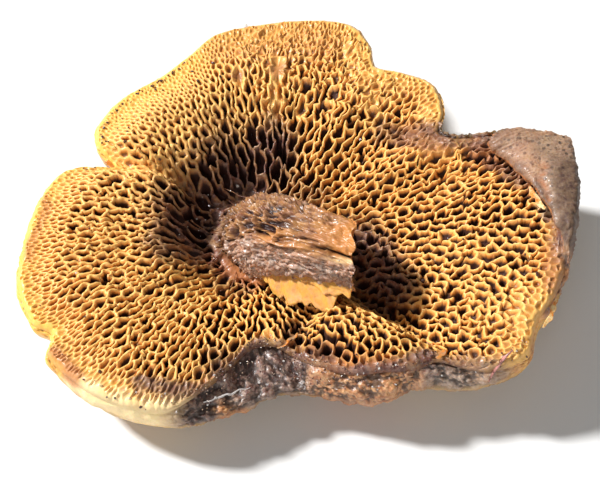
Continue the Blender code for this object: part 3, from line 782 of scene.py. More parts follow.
def skin_between(shape, lower, upper):
    """A face for each step between two rings of as many points."""
    count = len(lower)
    for i in range(count):
        j = (i + 1) % count
        shape.faces.new((lower[i], lower[j], upper[j], upper[i]))


def skin_over(shape, rings):
    for lower, upper in zip(rings, rings[1:]):
        skin_between(shape, lower, upper)


def close_with_point(shape, ring, point):
    tip = shape.verts.new(point)
    for i, corner in enumerate(ring):
        shape.faces.new((corner, ring[(i + 1) % len(ring)], tip))
    return tip


# The net of pores
def local_pore(bearing, radius):
    """Width, half wall, depth and bottom share of a pore here, and how far it is from the margin."""
    near, middle, margin, aspect, wall, depth, belt, keep = (read(bearing) for read in pore_columns)
    share = min(1.0, max(0.0, way_out(bearing, radius)))
    inland = soft_step(0.0, 1.0, (pore_edge(bearing) - radius) / (belt * MM))
    width = smooth_through(((0.0, near), (0.5, middle), (1.0, middle)), share)
    x = radius * math.cos(math.radians(bearing)) / MM
    y = radius * math.sin(math.radians(bearing)) / MM
    hollow = 1.0 - soft_step(4.0, 8.0, beside(x, y, (-8.5, 3.0), (-2.0, 10.5)))
    matted = nearness(x, y, MATTED_PATCHES)
    flat_lobe = nearness(x, y, CRUMPLED_PATCHES)
    width = (margin + (width - margin) * inland) * (1.0 + 0.3 * hollow)
    wall = wall * (0.5 + 0.5 * inland) * (1.0 - 0.5 * hollow)
    depth = (depth + 0.9 * hollow) * (0.14 + 0.86 * inland) * (1.0 - 0.8 * matted) * (1.0 - 0.5 * flat_lobe)
    keep += (0.8 - keep) * hollow
    return width * MM * sizes().pore_size, wall * MM, depth * MM, keep, inland


def pore_seeds():
    """Seeds of the pores on the ground, spread at random but never nearer than a pore's width."""
    rng = random.Random(PORE_SEED)
    reach = max(row[1] for row in OUTLINE) * MM
    buckets = {}
    seeds = []

    def near(x, y):
        i, j = int(x // PORE_BUCKET), int(y // PORE_BUCKET)
        return [s for a in (i - 1, i, i + 1) for b in (j - 1, j, j + 1) for s in buckets.get((a, b), ())]

    def keep(x, y, width):
        seeds.append((x, y))
        buckets.setdefault((int(x // PORE_BUCKET), int(y // PORE_BUCKET)), []).append((x, y, width))

    for x, y, width in WIDE_PORES:
        keep(x * MM, y * MM, width * MM)
    for attempt in range(PORE_TRIES):
        turn = rng.uniform(0.0, 2 * math.pi)
        radius = reach * math.sqrt(rng.random())
        vary = rng.uniform(0.8, 1.26)
        bearing = math.degrees(turn)
        if not FOOT_RADIUS - 2.0 * MM < radius < pore_edge(bearing) + SEEDS_PAST_EDGE:
            continue
        c, s = math.cos(turn), math.sin(turn)
        x, y = radius * c, radius * s
        patchy = 1.0 + 0.25 * noise.noise(Vector((x, y, 3 * MM)) / (3.0 * MM))
        width = local_pore(bearing, radius)[0] * vary * patchy
        squeeze = PORE_ASPECT(bearing)
        for other_x, other_y, other_width in near(x, y):
            along = ((other_x - x) * c + (other_y - y) * s) / squeeze
            across = (other_y - y) * c - (other_x - x) * s
            if along ** 2 + across ** 2 < max(width, 0.8 * other_width) ** 2:
                break
        else:
            keep(x, y, width)
    return [(math.atan2(y, x) % (2 * math.pi), math.hypot(x, y)) for x, y in seeds]


def strip_point(turn, radius):
    """The pores are joined in a strip where a pore of the local shape is about round."""
    return turn, math.log(radius / STRIP_RADIUS) / PORE_ASPECT(math.degrees(turn))


def ground_point(turn, row):
    return turn, STRIP_RADIUS * math.exp(row * PORE_ASPECT(math.degrees(turn)))


def joined(seeds):
    """Triangles between neighbouring seeds, right round the strip."""
    points = [Vector(s) for s in seeds]
    home = list(range(len(seeds)))
    for i, (turn, row) in enumerate(seeds):
        if turn < STRIP_OVERLAP:
            points.append(Vector((turn + 2 * math.pi, row)))
            home.append(i)
        if turn > 2 * math.pi - STRIP_OVERLAP:
            points.append(Vector((turn - 2 * math.pi, row)))
            home.append(i)
    result = delaunay_2d_cdt(points, [], [], 0, 1e-9)
    source = [ids[0] for ids in result[3]]
    return [[(result[0][v], home[source[v]], source[v]) for v in face] for face in result[2]]


def relaxed(seeds, share=0.5):
    """Seeds moved towards the mean of their neighbours."""
    pulls = {}
    for face in joined(seeds):
        for here, mine, source in face:
            if source < len(seeds):
                pulls.setdefault(mine, []).extend((there.x, there.y) for there, other, spare in face)
    moved = []
    for i, (turn, row) in enumerate(seeds):
        near = np.mean(pulls.get(i, [(turn, row)]), axis=0)
        moved.append((turn + share * (near[0] - turn), row + share * (near[1] - row)))
    return moved


def pore_net():
    """Corners of the net as (bearing, radius), and cells as lists of corners with their middle."""
    seeds = relaxed([strip_point(turn, radius) for turn, radius in pore_seeds()])
    corners = []
    numbers = {}
    around = {}
    for face in joined(seeds):
        middle = (face[0][0] + face[1][0] + face[2][0]) / 3
        key = tuple(sorted(mine for here, mine, source in face))
        if key not in numbers:
            numbers[key] = len(corners)
            turn, radius = ground_point(middle.x % (2 * math.pi), middle.y)
            corners.append((math.degrees(turn), radius))
        for here, mine, source in face:
            if source < len(seeds):
                angle = math.atan2(middle.y - here.y, middle.x - here.x)
                around.setdefault(mine, []).append((angle, numbers[key]))
    cells = []
    for i, ring in around.items():
        turn, radius = ground_point(seeds[i][0] % (2 * math.pi), seeds[i][1])
        bearing = math.degrees(turn)
        furthest = pore_edge(bearing) + rim_reach(bearing)[0] - 0.55 * MM
        if FOOT_RADIUS + 0.4 * MM < radius < furthest and len(ring) > 3:
            cells.append(([number for angle, number in sorted(ring, reverse=True)], (bearing, radius)))
    return corners, cells


def border_loops(cells):
    """Each corner on the net's borders, with the corner that follows it."""
    sides = set()
    for ring, middle in cells:
        sides.update(zip(ring, ring[1:] + ring[:1]))
    after = {}
    for a, b in sorted(sides):
        if (b, a) not in sides:
            after.setdefault(a, []).append(b)
    return after


def without_pinches(cells):
    """Cells that leave each border corner on one border loop only."""
    while True:
        pinched = {corner for corner, ways in border_loops(cells).items() if len(ways) > 1}
        kept = [cell for cell in cells if not pinched & set(cell[0])]
        if len(kept) == len(cells):
            return cells
        cells = kept


def kept_inside(bearing, radius):
    """A radius drawn in smoothly so that it stays clear of the foot and of the layer's rim."""
    soft = 0.9 * MM
    furthest = pore_edge(bearing) + rim_reach(bearing)[0] - NET_MARGIN
    if furthest - radius < soft:
        radius = furthest - soft * math.exp((furthest - radius) / soft - 1.0)
    nearest = FOOT_RADIUS + GAP
    if radius - nearest < soft:
        radius = nearest + soft * math.exp((radius - nearest) / soft - 1.0)
    return radius


class NetOfWalls:
    """The crests of the tube walls: points shared by the pores on both sides of each wall."""

    def __init__(self, shape, corners, borders):
        self.shape = shape
        self.corners = corners
        self.borders = borders
        self.points = {}
        self.sides = {}
        self.tones = {}

    def lift(self, x, y, extra, tone=0.0):
        """A crest point at a place on the ground, waved sideways and set on the pore surface."""
        bearing, radius = polar(x, y)
        inland = local_pore(bearing, radius)[4]
        rough = nearness((x - FOOT[0]) / MM, (y - FOOT[1]) / MM, CRUMPLED_PATCHES)
        wave = sizes().wall_wave * (0.35 + 0.65 * inland + 0.6 * rough)
        spot = Vector((x, y, 0.0))
        wander = noise.noise_vector(spot / (1.1 * MM)) * wave
        wander += noise.noise_vector(spot / (0.55 * MM)) * wave * (0.45 + 0.55 * rough)
        bearing, radius = polar(x + wander.x, y + wander.y)
        radius = kept_inside(bearing, radius)
        spot.z = 5 * MM
        uneven = 0.36 * ripple(spot, 1.5) + 0.28 * ripple(spot, 0.55)
        uneven *= (0.45 + 0.55 * inland + 1.1 * rough) * MM
        made = self.shape.verts.new(place(bearing, radius, top_height(bearing, radius) + uneven + extra))
        self.tones[made] = tone
        return made

    def corner(self, number):
        if number not in self.points:
            bearing, radius = self.corners[number]
            spot = place(bearing, radius, 0.0)
            inland = local_pore(bearing, radius)[4]
            peak = sizes().crest_peaks * inland * (0.3 + ripple(spot, 0.8))
            self.points[number] = self.lift(spot.x, spot.y, peak)
        return self.points[number]

    def side(self, a, b):
        """Crest points from corner a up to corner b, without b."""
        if (b, a) in self.sides:
            return [self.corner(a)] + self.sides[(b, a)][::-1]
        if (a, b) not in self.sides:
            self.sides[(a, b)] = self.between(a, b)
        return [self.corner(a)] + self.sides[(a, b)]

    def between(self, a, b):
        """Points along a wall. Cross walls sag between the radial ones, and some are broken low."""
        (bearing_a, radius_a), (bearing_b, radius_b) = self.corners[a], self.corners[b]
        start = place(bearing_a, radius_a, 0.0)
        end = place(bearing_b, radius_b, 0.0)
        line = end - start
        steps = min(1 + int(line.length / SIDE_STEP), SIDE_STEPS)
        if line.length < 1e-7:
            return []
        across = Vector((-line.y, line.x, 0.0)).normalized()
        out = place(bearing_a, 1.0, 0.0) - place(bearing_a, 0.0, 0.0)
        cross = 1.0 - abs(line.normalized().dot(out))
        rng = random.Random(a * 7919 + b)
        wall, depth, inland = (local_pore(bearing_a, radius_a)[i] for i in (1, 2, 4))
        if (a, b) in self.borders:
            inland = 0.0
        fleshy = soft_step(0.10 * MM, 0.2 * MM, wall)
        buckle = rng.uniform(-0.24, 0.24) * line.length * inland
        sag = (0.08 + 0.35 * cross) * rng.uniform(0.5, 1.4) * MM
        low = rng.random() < (0.06 + 0.42 * cross) * (1.0 - 0.55 * fleshy)
        if low:
            sag = rng.uniform(0.45, 0.85) * depth
        made = []
        for k in range(1, steps):
            share = k / steps
            arch = math.sin(math.pi * share)
            spot = start + line * share + across * buckle * arch * rng.uniform(0.6, 1.3)
            down = sag * inland * (arch ** 0.4 if low else arch)
            # Walls broken low get painted shade by how far they sink
            tone = 0.8 * down / DARK_FROM if low else 0.0
            made.append(self.lift(spot.x, spot.y, -down, tone))
        return made


def make_pit(shape, tones, crest, bearing, radius):
    """The inside of one tube, from its crest points down to its bottom."""
    wall, deep, keep, inland = local_pore(bearing, radius)[1:]
    ring = np.array([v.co for v in crest])
    middle = ring.mean(axis=0)
    tangent = np.roll(ring, -1, axis=0) - np.roll(ring, 1, axis=0)
    inward = np.stack((-tangent[:, 1], tangent[:, 0]), axis=1)
    inward /= np.linalg.norm(inward, axis=1, keepdims=True) + 1e-12
    middle_bearing, middle_radius = polar(middle[0], middle[1])
    deep *= 0.75 + 0.5 * random.Random(len(tones)).random()
    room = middle[2] - tube_foot(middle_bearing, middle_radius) - 0.4 * MM
    deep = max(0.1 * MM, min(deep, room))
    lean = noise.noise_vector(Vector(middle) / (4.0 * MM)) * 0.25 * deep
    # The last value of each level, and the bottom point's value, is painted shade that grows with the depth
    levels = [(0.97, min(0.08 * MM, 0.3 * deep), 0.0), (keep, 0.9 * deep, 0.9 * deep / DARK_FROM)]
    if inland < 0.45:
        levels = [(0.95, min(0.05 * MM, 0.3 * deep), 0.0), (0.6, 0.85 * deep, 0.55 * inland + 0.2)]
    last = crest
    for scale, down, tone in levels:
        level = ring.copy()
        level[:, :2] += inward * wall
        level[:, :2] = middle[:2] + (level[:, :2] - middle[:2]) * scale + np.array(lean)[:2] * down / deep
        flat = min(1.0, down / deep) ** 2
        level[:, 2] = (ring[:, 2] - down) * (1 - flat) + (middle[2] - down) * flat
        made = [shape.verts.new(row) for row in level]
        for v, above in zip(made, last):
            tones[v] = max(tone, tones[above])
        skin_between(shape, last, made)
        last = made
    floor = Vector((middle[0] + lean.x, middle[1] + lean.y, middle[2] - deep))
    tones[close_with_point(shape, last, floor)] = deep / DARK_FROM if inland >= 0.45 else 0.6 * inland + 0.25


def fill_bands(shape, cells, net, rings):
    """Flat triangles between the net's borders and the smooth rims outside and inside it."""
    after = border_loops(cells)
    loop_sides = []
    for a, ways in after.items():
        chain = net.side(a, ways[0]) + [net.corner(ways[0])]
        loop_sides += list(zip(chain, chain[1:]))
    vertices = list(dict.fromkeys([v for pair in loop_sides for v in pair] + rings[0] + rings[1]))
    index = {vertex: k for k, vertex in enumerate(vertices)}
    borders = [(index[a], index[b]) for a, b in loop_sides]
    sides = list(borders)
    for ring in rings:
        sides += [(index[v], index[ring[(k + 1) % len(ring)]]) for k, v in enumerate(ring)]
    flat = [Vector((v.co.x, v.co.y)) for v in vertices]
    result = delaunay_2d_cdt(flat, sides, [], 0, 1e-9)
    walls = set(sides) | {(b, a) for a, b in sides}
    faces = [tuple(result[3][v][0] for v in face) for face in result[2]]
    next_to = {}
    for face in faces:
        for a, b in zip(face, face[1:] + face[:1]):
            next_to[(a, b)] = face
    waiting = [next_to[(b, a)] for a, b in borders if (b, a) in next_to]
    chosen = set()
    while waiting:
        face = waiting.pop()
        if face in chosen:
            continue
        chosen.add(face)
        for a, b in zip(face, face[1:] + face[:1]):
            if (a, b) not in walls and (b, a) in next_to:
                waiting.append(next_to[(b, a)])
    for face in chosen:
        shape.faces.new([vertices[v] for v in face])


def tissue_attributes(points):
    """The stains of the flesh at each point. The damp stain also holds painted shade: the stem's shadow and
    part of the hollow's dark.
    """
    wobble = np.array([noise.noise_vector(p / (2.4 * MM)) for p in points])[:, :2]
    places = np.array([(p.x - FOOT[0], p.y - FOOT[1]) for p in points])
    bearings = np.degrees(np.arctan2(places[:, 1], places[:, 0])) % 360
    radii = np.linalg.norm(places, axis=1)
    belt = PORE_BELT.many(bearings) * MM
    left = np.clip((bearings - 50) / 80, 0, 1) * (1 - np.clip((bearings - 222) / 28, 0, 1))
    near_rim = 1.0 - (outer_radius.many(bearings) - radii) / (0.32 * belt + 1.6 * MM)
    stains = {"rim": np.clip(near_rim, 0, 1) ** 1.5 * (0.2 + 0.8 * left)}
    for title, patches in (("damp", DAMP_AND_SHADE_PATCHES), ("grey", GREY_PATCHES),
                           ("blush", BLUSH_PATCHES), ("cream", CREAM_PATCHES)):
        stains[title] = patch_strengths(places / MM + 1.1 * wobble, patches)
    near_side = np.clip((bearings - 246) / 8, 0, 1) * (1 - np.clip((bearings - 318) / 10, 0, 1))
    past = (radii - pore_edge_of(bearings)) / MM + 0.5 + 0.8 * wobble[:, 0]
    stains["damp"] = np.maximum(stains["damp"], near_side * np.clip(past / 0.9, 0, 1))
    return stains


class MUSHROOM_OT_pore_layer(bpy.types.Operator):
    """Make the layer of tubes, with its net of thin wavy walls round deep pores"""

    bl_idname = "mushroom.pore_layer"
    bl_label = "Pore layer"

    def execute(self, context):
        shape = bmesh.new()
        corners, cells = pore_net()
        cells = without_pinches(cells)
        borders = {(a, ways[0]) for a, ways in border_loops(cells).items()}
        net = NetOfWalls(shape, corners, borders)
        for ring, (bearing, radius) in cells:
            crest = []
            for a, b in zip(ring, ring[1:] + ring[:1]):
                crest += net.side(a, b)
            make_pit(shape, net.tones, crest, bearing, radius)
        stations = margin_bearings(RIM_STATIONS)
        backs = []
        for share in BACK_SHARES:
            radii = [FOOT_RADIUS + share * (pore_edge(b) - FOOT_RADIUS) for b in stations]
            if share == 0.0:
                radii = [COLLAR_RADIUS] * len(stations)
            backs.append([shape.verts.new(place(b, r, tube_foot(b, max(r, FOOT_RADIUS))))
                          for b, r in zip(stations, radii)])
        skin_over(shape, backs)
        rim = [shape.verts.new(rim_point(b)) for b in stations]
        skin_between(shape, backs[-1], rim)
        inner = [shape.verts.new(place(b, COLLAR_RADIUS, COLLAR_HEIGHT)) for b in stations]
        skin_between(shape, backs[0], inner)
        fill_bands(shape, cells, net, (rim, inner))
        bmesh.ops.triangulate(shape, faces=shape.faces)
        shape.verts.index_update()
        attributes = tissue_attributes([v.co.copy() for v in shape.verts])
        # The depth mark is the painted shade of the pits and of the walls broken low
        attributes["depth"] = [net.tones.get(v, 0.0) for v in shape.verts]
        material = new_material(
            "pore_walls", flesh_colour, dulled(0.32, 0.6, 1500.0, "depth", 1.2),
            (2600.0, 3600.0, 0.4, 0.4, 0.08),
            **soft_flesh(0.12, 0.6, 0.1, 0.14, (1.0, 0.5, 0.15)), Specular_IOR_Level=0.35)
        finish_piece("net_of_pores", shape, material, "pore_layer", attributes)
        return {"FINISHED"}


def rim_point(bearing):
    """The pore layer's outermost point, a little way under the surface of the lip."""
    reach, overhang = rim_reach(bearing)
    radius = pore_edge(bearing) + reach
    return place(bearing, radius, top_height(bearing, radius) - 0.15 * MM - OVERHANG_DROP * overhang)


# The cap
def fold_reach(bearing):
    signed = bearing - 360 if bearing > 180 else bearing
    if not FOLD_REACHES[-1][0] < signed < FOLD_REACHES[0][0]:
        return 0.0
    return smooth_through(FOLD_REACHES[::-1], signed) * MM


def lip_path(bearing):
    """The margin's section, from under the pore layer's rim over the lip to the outermost skin."""
    outer = outer_radius(bearing)
    edge = pore_edge(bearing)
    edge_height = surface_height(bearing, edge)
    overhang = rim_reach(bearing)[1]
    sink = LIP_SINK + OVERHANG_DROP * overhang
    plain = [Vector((edge - LIP_TUCK, edge_height - sink))]
    for s in LIP_SHARES:
        radius = edge + (outer - edge) * math.sin(s * math.pi / 2) ** (2 / LIP_ROUNDING)
        under = sink * (1 - soft_step(0.35, 0.97, s))
        plain.append(Vector((radius, top_height(bearing, radius) - under)))
    fold = fold_reach(bearing)
    if fold == 0.0:
        return plain
    free = outer - fold
    under = surface_height(bearing, free) + FOLD_HOVER
    crown = edge_height + 2.2 * MM
    folded = [
        plain[0],
        Vector((outer - 2.4 * MM, edge_height + 0.9 * MM)),
        Vector((free + 0.15 * MM, under)),
        Vector((free, under + FOLD_THICKNESS)),
        Vector((outer - 0.5 * fold, max(crown, under + FOLD_THICKNESS + 0.3 * MM))),
        Vector((outer - 0.7 * MM, crown - 0.4 * MM)),
        plain[-1],
    ]
    share = min(1.0, fold / FOLD_FULL_REACH)
    return [a.lerp(b, share) for a, b in zip(plain, folded)]


def underside_path(bearing, angles):
    """From the outermost skin down and in to the flat that the cap rests on."""
    outer = outer_radius(bearing)
    low = outer_height(bearing)
    rest = REST_SHARE * outer
    path = []
    for angle in angles:
        turn = math.radians(angle)
        radius = rest + (outer - rest) * math.cos(turn) ** UNDERSIDE_ROUNDING
        path.append(Vector((radius, low * (1 - math.sin(turn)))))
    return path


def smooth_path(points, steps):
    """More points on a smooth curve through a section's points, steps to each stretch."""
    length = [0.0]
    for a, b in zip(points, points[1:]):
        length.append(length[-1] + max((b - a).length, 1e-6))
    radii = [(l, p.x) for l, p in zip(length, points)]
    heights = [(l, p.y) for l, p in zip(length, points)]
    path = []
    for a, b in zip(length, length[1:]):
        for step in range(steps):
            at = a + (b - a) * step / steps
            path.append(Vector((smooth_through(radii, at), smooth_through(heights, at))))
    return path + [points[-1].copy()]


def skin_relief(point, marks):
    """Height of the surface over its smooth shape, and how deep it lies in a dimple."""
    bearing, radius = polar(point.x, point.y)
    turn = math.radians(bearing)
    skin, fold = marks["skin"], marks["fold"]
    grit, cream = marks["grit"], marks["cream"]
    height = 0.22 * MM * ripple(point, 3.0) + 0.12 * MM * ripple(point, 1.2)
    dimple = 0.0
    flesh = (1 - skin) * (1 - grit) * (1 - cream)
    if flesh > 0.02:
        stretched = Vector((point.x - FOOT[0], point.y - FOOT[1], point.z)) / (0.55 * MM)
        stretched -= 0.35 * stretched.dot(Vector((math.cos(turn), math.sin(turn), 0))) * Vector(
            (math.cos(turn), math.sin(turn), 0))
        gaps = noise.voronoi(stretched)[0]
        dimple = soft_step(0.06, 0.5, gaps[1] - gaps[0]) * flesh
        height += (0.1 * ripple(point, 0.4) - 0.22 * dimple) * MM * flesh
    if grit > 0.02:
        warp = point / (0.78 * MM) + 0.6 * noise.noise_vector(point / (1.5 * MM))
        large = noise.voronoi(warp)[0][0]
        small = noise.voronoi(point / (0.34 * MM))[0][0]
        clod = 0.5 - 0.85 * large + 0.65 * (0.5 - small)
        crease = abs(ripple(point, 2.8))
        height += grit * (sizes().grit_height * 1.5 * clod + 1.3 * MM * (crease - 0.22))
        dimple = max(dimple, grit * 1.9 * soft_step(0.45, 0.95, large + 0.4 * small - 0.9 * (crease - 0.16)))
    if skin > 0.02:
        streaked = Vector((math.cos(turn) * 14, math.sin(turn) * 14, (radius + point.z) / (6 * MM)))
        wrinkle = noise.ridged_multi_fractal(streaked, 1.0, 2.0, 3, 1.0, 2.0) - 1.0
        height += sizes().skin_wrinkle * 0.35 * wrinkle * skin * (1 - 0.6 * fold)
        height += 0.12 * MM * marks["scales"]
    if fold > 0.02:
        rough = 0.24 * ripple(point, 0.4) + 0.26 * ripple(point, 1.6)
        height += fold * MM * rough
        x, y = (point.x - FOOT[0]) / MM, (point.y - FOOT[1]) / MM
        height -= fold * 0.5 * MM * math.exp(-(from_crack(x, y) / 0.32) ** 2)
    if marks["crinkle"] > 0.02:
        fine = noise.ridged_multi_fractal(point / (1.1 * MM), 0.8, 2.1, 3, 1.0, 2.0)
        height += marks["crinkle"] * 0.6 * MM * (fine - 1.0)
    return height, dimple


def scale_mask(point, bearing):
    """Flat fibrous scales on the cap's own skin, longer along the radius."""
    turn = math.radians(bearing)
    radius = math.hypot(point.x - FOOT[0], point.y - FOOT[1])
    spot = Vector((math.cos(turn) * 9, math.sin(turn) * 9, (radius - point.z) / (5 * MM)))
    return soft_step(0.18, 0.42, noise.fractal(spot, 0.6, 2.0, 4))


class MUSHROOM_OT_cap(bpy.types.Operator):
    """Make the cap: flesh and skin with the rounded lip, the folded margin and the underside"""

    bl_idname = "mushroom.cap"
    bl_label = "Cap"

    def execute(self, context):
        shape = bmesh.new()
        stations = margin_bearings(MARGIN_STATIONS)
        angles = [4 + 86 * (k / UNDERSIDE_STEPS) ** 0.9 for k in range(UNDERSIDE_STEPS + 1)]
        sections = []
        for bearing in stations:
            edge = pore_edge(bearing)
            section = [Vector((FOOT_RADIUS - 1.5 * MM, DISH_FLOOR))]
            for share in BACK_SHARES[1:]:
                radius = FOOT_RADIUS + share * (edge - FOOT_RADIUS)
                past = -LIP_TUCK if share == 1.0 else 0.0
                section.append(Vector((radius + past, tube_foot(bearing, radius) - GAP)))
            low = underside_path(bearing, angles)
            rest = [Vector((low[-1].x * share, 0.0)) for share in (0.7, 0.35)]
            sections.append(section + smooth_path(lip_path(bearing), LIP_STEPS) + low + rest)
        dish = len(BACK_SHARES)
        lip_end = dish + len(LIP_SHARES) * LIP_STEPS + 1
        rings = []
        for k in range(len(sections[0])):
            rings.append([shape.verts.new(place(b, s[k].x, s[k].y)) for b, s in zip(stations, sections)])
        skin_over(shape, rings)
        close_with_point(shape, rings[0], place(0.0, 0.0, DISH_FLOOR))
        close_with_point(shape, rings[-1], place(0.0, 0.0, 0.0))
        bmesh.ops.recalc_face_normals(shape, faces=shape.faces)
        shape.normal_update()
        shape.verts.index_update()
        stains = self.marks(shape, rings, stations, dish, lip_end)
        for ring in rings[dish + 1:]:
            for v in ring:
                i = v.index
                marks = {title: values[i] for title, values in stains.items()}
                height, dimple = skin_relief(v.co, marks)
                # Painted shade in the dimples and crevices of the skin, through the depth mark
                stains["depth"][i] = 0.42 * dimple
                v.co += v.normal * height
                v.co.z = max(v.co.z, 0.0)
        material = new_material(
            "cap_skin", skin_colour, dulled(0.28, 0.55, 900.0, "fold", 0.62),
            (1900.0, 3000.0, 0.6, 0.6, 0.14),
            **soft_flesh(0.25, 0.8, 0.08, 0.14))
        finish_piece("cap_flesh_and_skin", shape, material, "cap", stains, recalculate=False)
        return {"FINISHED"}

    def marks(self, shape, rings, stations, dish, lip_end):
        """Stains of each point, and which is skin, folded over, scaly, soiled or crinkled."""
        points = [v.co.copy() for v in shape.verts]
        stains = tissue_attributes(points)
        for title in ("skin", "fold", "scales", "grit", "depth", "crinkle"):
            stains[title] = np.zeros(len(points))
        places = np.array([(p.x - FOOT[0], p.y - FOOT[1]) for p in points]) / MM
        crinkled = patch_strengths(places, (((23.5, 14.5), (33.5, 11.5), 3.0, 1.0),))
        for k, ring in enumerate(rings):
            outside = soft_step(lip_end - 5, lip_end + 3, k)
            for v, bearing in zip(ring, stations):
                i = v.index
                reach = soft_step(0.5 * MM, 2.0 * MM, fold_reach(bearing))
                edge_of_fold = dish + 2.5 * LIP_STEPS
                fold = reach * soft_step(edge_of_fold - 1, edge_of_fold + 2, k)
                skin = max(outside, fold)
                stains["skin"][i] = skin
                stains["fold"][i] = fold * (1 - soft_step(lip_end + 2, lip_end + 9, k))
                stains["scales"][i] = skin * (1 - fold) * scale_mask(v.co, bearing)
                stains["grit"][i] = stains["damp"][i] * (1 - 0.5 * outside) * (1 - 0.9 * reach)
                stains["crinkle"][i] = crinkled[i] * (1 - fold)
                torn_edge = reach * math.exp(-((k - edge_of_fold) / 2.2) ** 2)
                x, y = places[i]
                crack = from_crack(x, y) if fold else 9.0
                bare = max(torn_edge, 0.8 * math.exp(-(crack / 0.26) ** 2))
                stains["blush"][i] = max(stains["blush"][i] * (1 - 0.7 * fold), bare)
        return stains


# The stem
def stem_section(step):
    """Middle, axis, two directions across and radius of the stem at a step of its path."""
    away, height, tilt = (smooth_through([(i, row[c]) for i, row in enumerate(STEM_PATH)], step)
                          for c in range(3))
    tilt = math.radians(tilt)
    lean = Vector((math.cos(STEM_BEARING), math.sin(STEM_BEARING), 0.0))
    up = Vector((0.0, 0.0, 1.0))
    middle = Vector((*FOOT, 0.0)) + lean * (away * MM) + up * (height * MM)
    axis = lean * math.sin(tilt) + up * math.cos(tilt)
    under = lean * math.cos(tilt) - up * math.sin(tilt)
    return middle, axis, under, up.cross(lean), smooth_through(STEM_RADII, step) * MM


def stem_marks(turn, step):
    """Stains of the stem: soaked skin on its near side, torn flesh at its end, bruises below."""
    wobble = noise_at(3 * math.cos(turn), 3 * math.sin(turn), 1.5 * step)
    side = math.degrees(turn) % 360 + 10 * wobble
    near = soft_step(220, 236, side) * (1 - soft_step(286, 295, side))
    lump = math.exp(-((side - 224) / 10) ** 2 - ((step - 3.75) / 0.5) ** 2)
    damp = near * soft_step(0.9, 1.9, step + 0.5 * wobble) * (1 - lump)
    damp = max(damp, 0.55 * soft_step(150, 110, side) * (1 - soft_step(3.9, 4.6, step)))
    below = soft_step(286, 298, side) * (1 - soft_step(338, 352, side)) * soft_step(1.0, 1.8, step)
    blush = max(0.75 * near * (1 - soft_step(1.3, 2.6, step + wobble)), 0.6 * below)
    torn = max(soft_step(4.0, 4.7, step + 0.6 * wobble) * (1 - near), 0.8 * lump, 0.6 * below)
    cream = math.exp(-((side - 226) / 3.5) ** 2) * soft_step(4.2, 4.7, step)
    return {"damp": damp * (1 - cream), "torn": torn, "blush": blush, "cream": cream, "lump": lump}


def stem_girth(turn, step):
    """How much the stub swells or shrinks: full at mid length below, slim towards its end."""
    back = max(0.0, math.cos(turn - math.radians(112))) ** 2
    near = max(0.0, math.cos(turn - math.radians(276))) ** 2
    full = math.exp(-((step - 2.7) / 0.8) ** 2) * near
    slim = 1.5 * near * soft_step(3.8, 5.0, step)
    return MM * (1.3 * full - slim - 2.0 * back * soft_step(2.0, 4.4, step))


def stem_relief(turn, step, marks):
    """Fibres and a net of shallow pores along the stem, and how deep each point lies in a pore."""
    c, s = math.cos(turn), math.sin(turn)
    warp = 0.5 * noise.noise_vector(Vector((3.4 * c, 3.4 * s, 1.6 * step)))
    gaps = noise.voronoi(Vector((5.2 * c, 5.2 * s, 1.7 * step)) + warp)[0]
    wall = soft_step(0.06, 0.18, gaps[1] - gaps[0])
    top_side = 1 - 0.6 * soft_step(228, 250, math.degrees(turn) % 360)
    pit = wall * (1 - 0.95 * soft_step(3.2, 4.4, step))
    gaps = noise.voronoi(Vector((11 * c, 11 * s, 3.4 * step)) + 2.0 * warp)[0]
    holes = soft_step(-0.44, -0.32, -gaps[0]) * (1 - soft_step(4.0, 4.9, step)) * soft_step(1.6, 2.6, step)
    pit = max(pit, 0.6 * holes) * top_side * (1 - 0.8 * marks["damp"])
    fibre = 1.0 - 2.0 * abs(noise.noise(Vector((7 * c, 7 * s, 2.6 * step)) + 2.4 * warp))
    fine = noise.noise(Vector((20 * c, 20 * s, 7.0 * step)) + 3.0 * warp)
    lumps = noise_at(2.2 * c, 2.2 * s, 1.3 * step)
    around = Vector((c, s, 0.54 * step))
    clods = noise.noise(13 * around) + 0.7 * noise.noise(26 * around)
    deeper = 1.8 - 0.8 * soft_step(1.2, 2.6, step)
    height = sizes().stem_fibre * (1.0 * fibre + 1.1 * fine - 4.5 * pit * deeper)
    rough = max(marks["damp"], 0.8 * marks["blush"])
    height += MM * (0.6 * lumps + 0.42 * clods * rough + 0.8 * marks["lump"])
    return height, pit


def stem_point(turn, step):
    middle, axis, under, side, radius = stem_section(step)
    marks = stem_marks(turn, step)
    height, pit = stem_relief(turn, step, marks)
    flare = 0.9 * MM * (1 - soft_step(0.2, 1.4, step))
    slit_away = (math.degrees(turn) % 360) - 219
    slit = math.exp(-(slit_away / 2.6) ** 2) * soft_step(4.0, 4.6, step)
    height += flare - 1.5 * MM * slit + stem_girth(turn, step)
    point = middle + (under * math.cos(turn) + side * math.sin(turn)) * (radius + height)
    ragged = noise_at(3 * math.cos(turn), 3 * math.sin(turn), 9.0)
    ragged += 0.22 * noise_at(8 * math.cos(turn), 8 * math.sin(turn), 4.0)
    break_at = FOOT[0] + STEM_BREAK + BREAK_DEPTH * ragged
    near_end = max(0.0, step - STEM_PATH_STEPS + 2) / 2
    # Painted shade through the depth mark: the stem darkens towards its foot, in its pits and in the slit
    foot_shade = 1 - soft_step(1.3, 2.7, step + 0.5 * ragged)
    marks["depth"] = min(1.0, max(0.95 * pit + 0.8 * slit, foot_shade * (0.5 + 0.5 * pit)))
    if near_end > 0.0:
        point = point + axis * (near_end ** 2 * (break_at - point.x) / axis.x)
    return point, marks


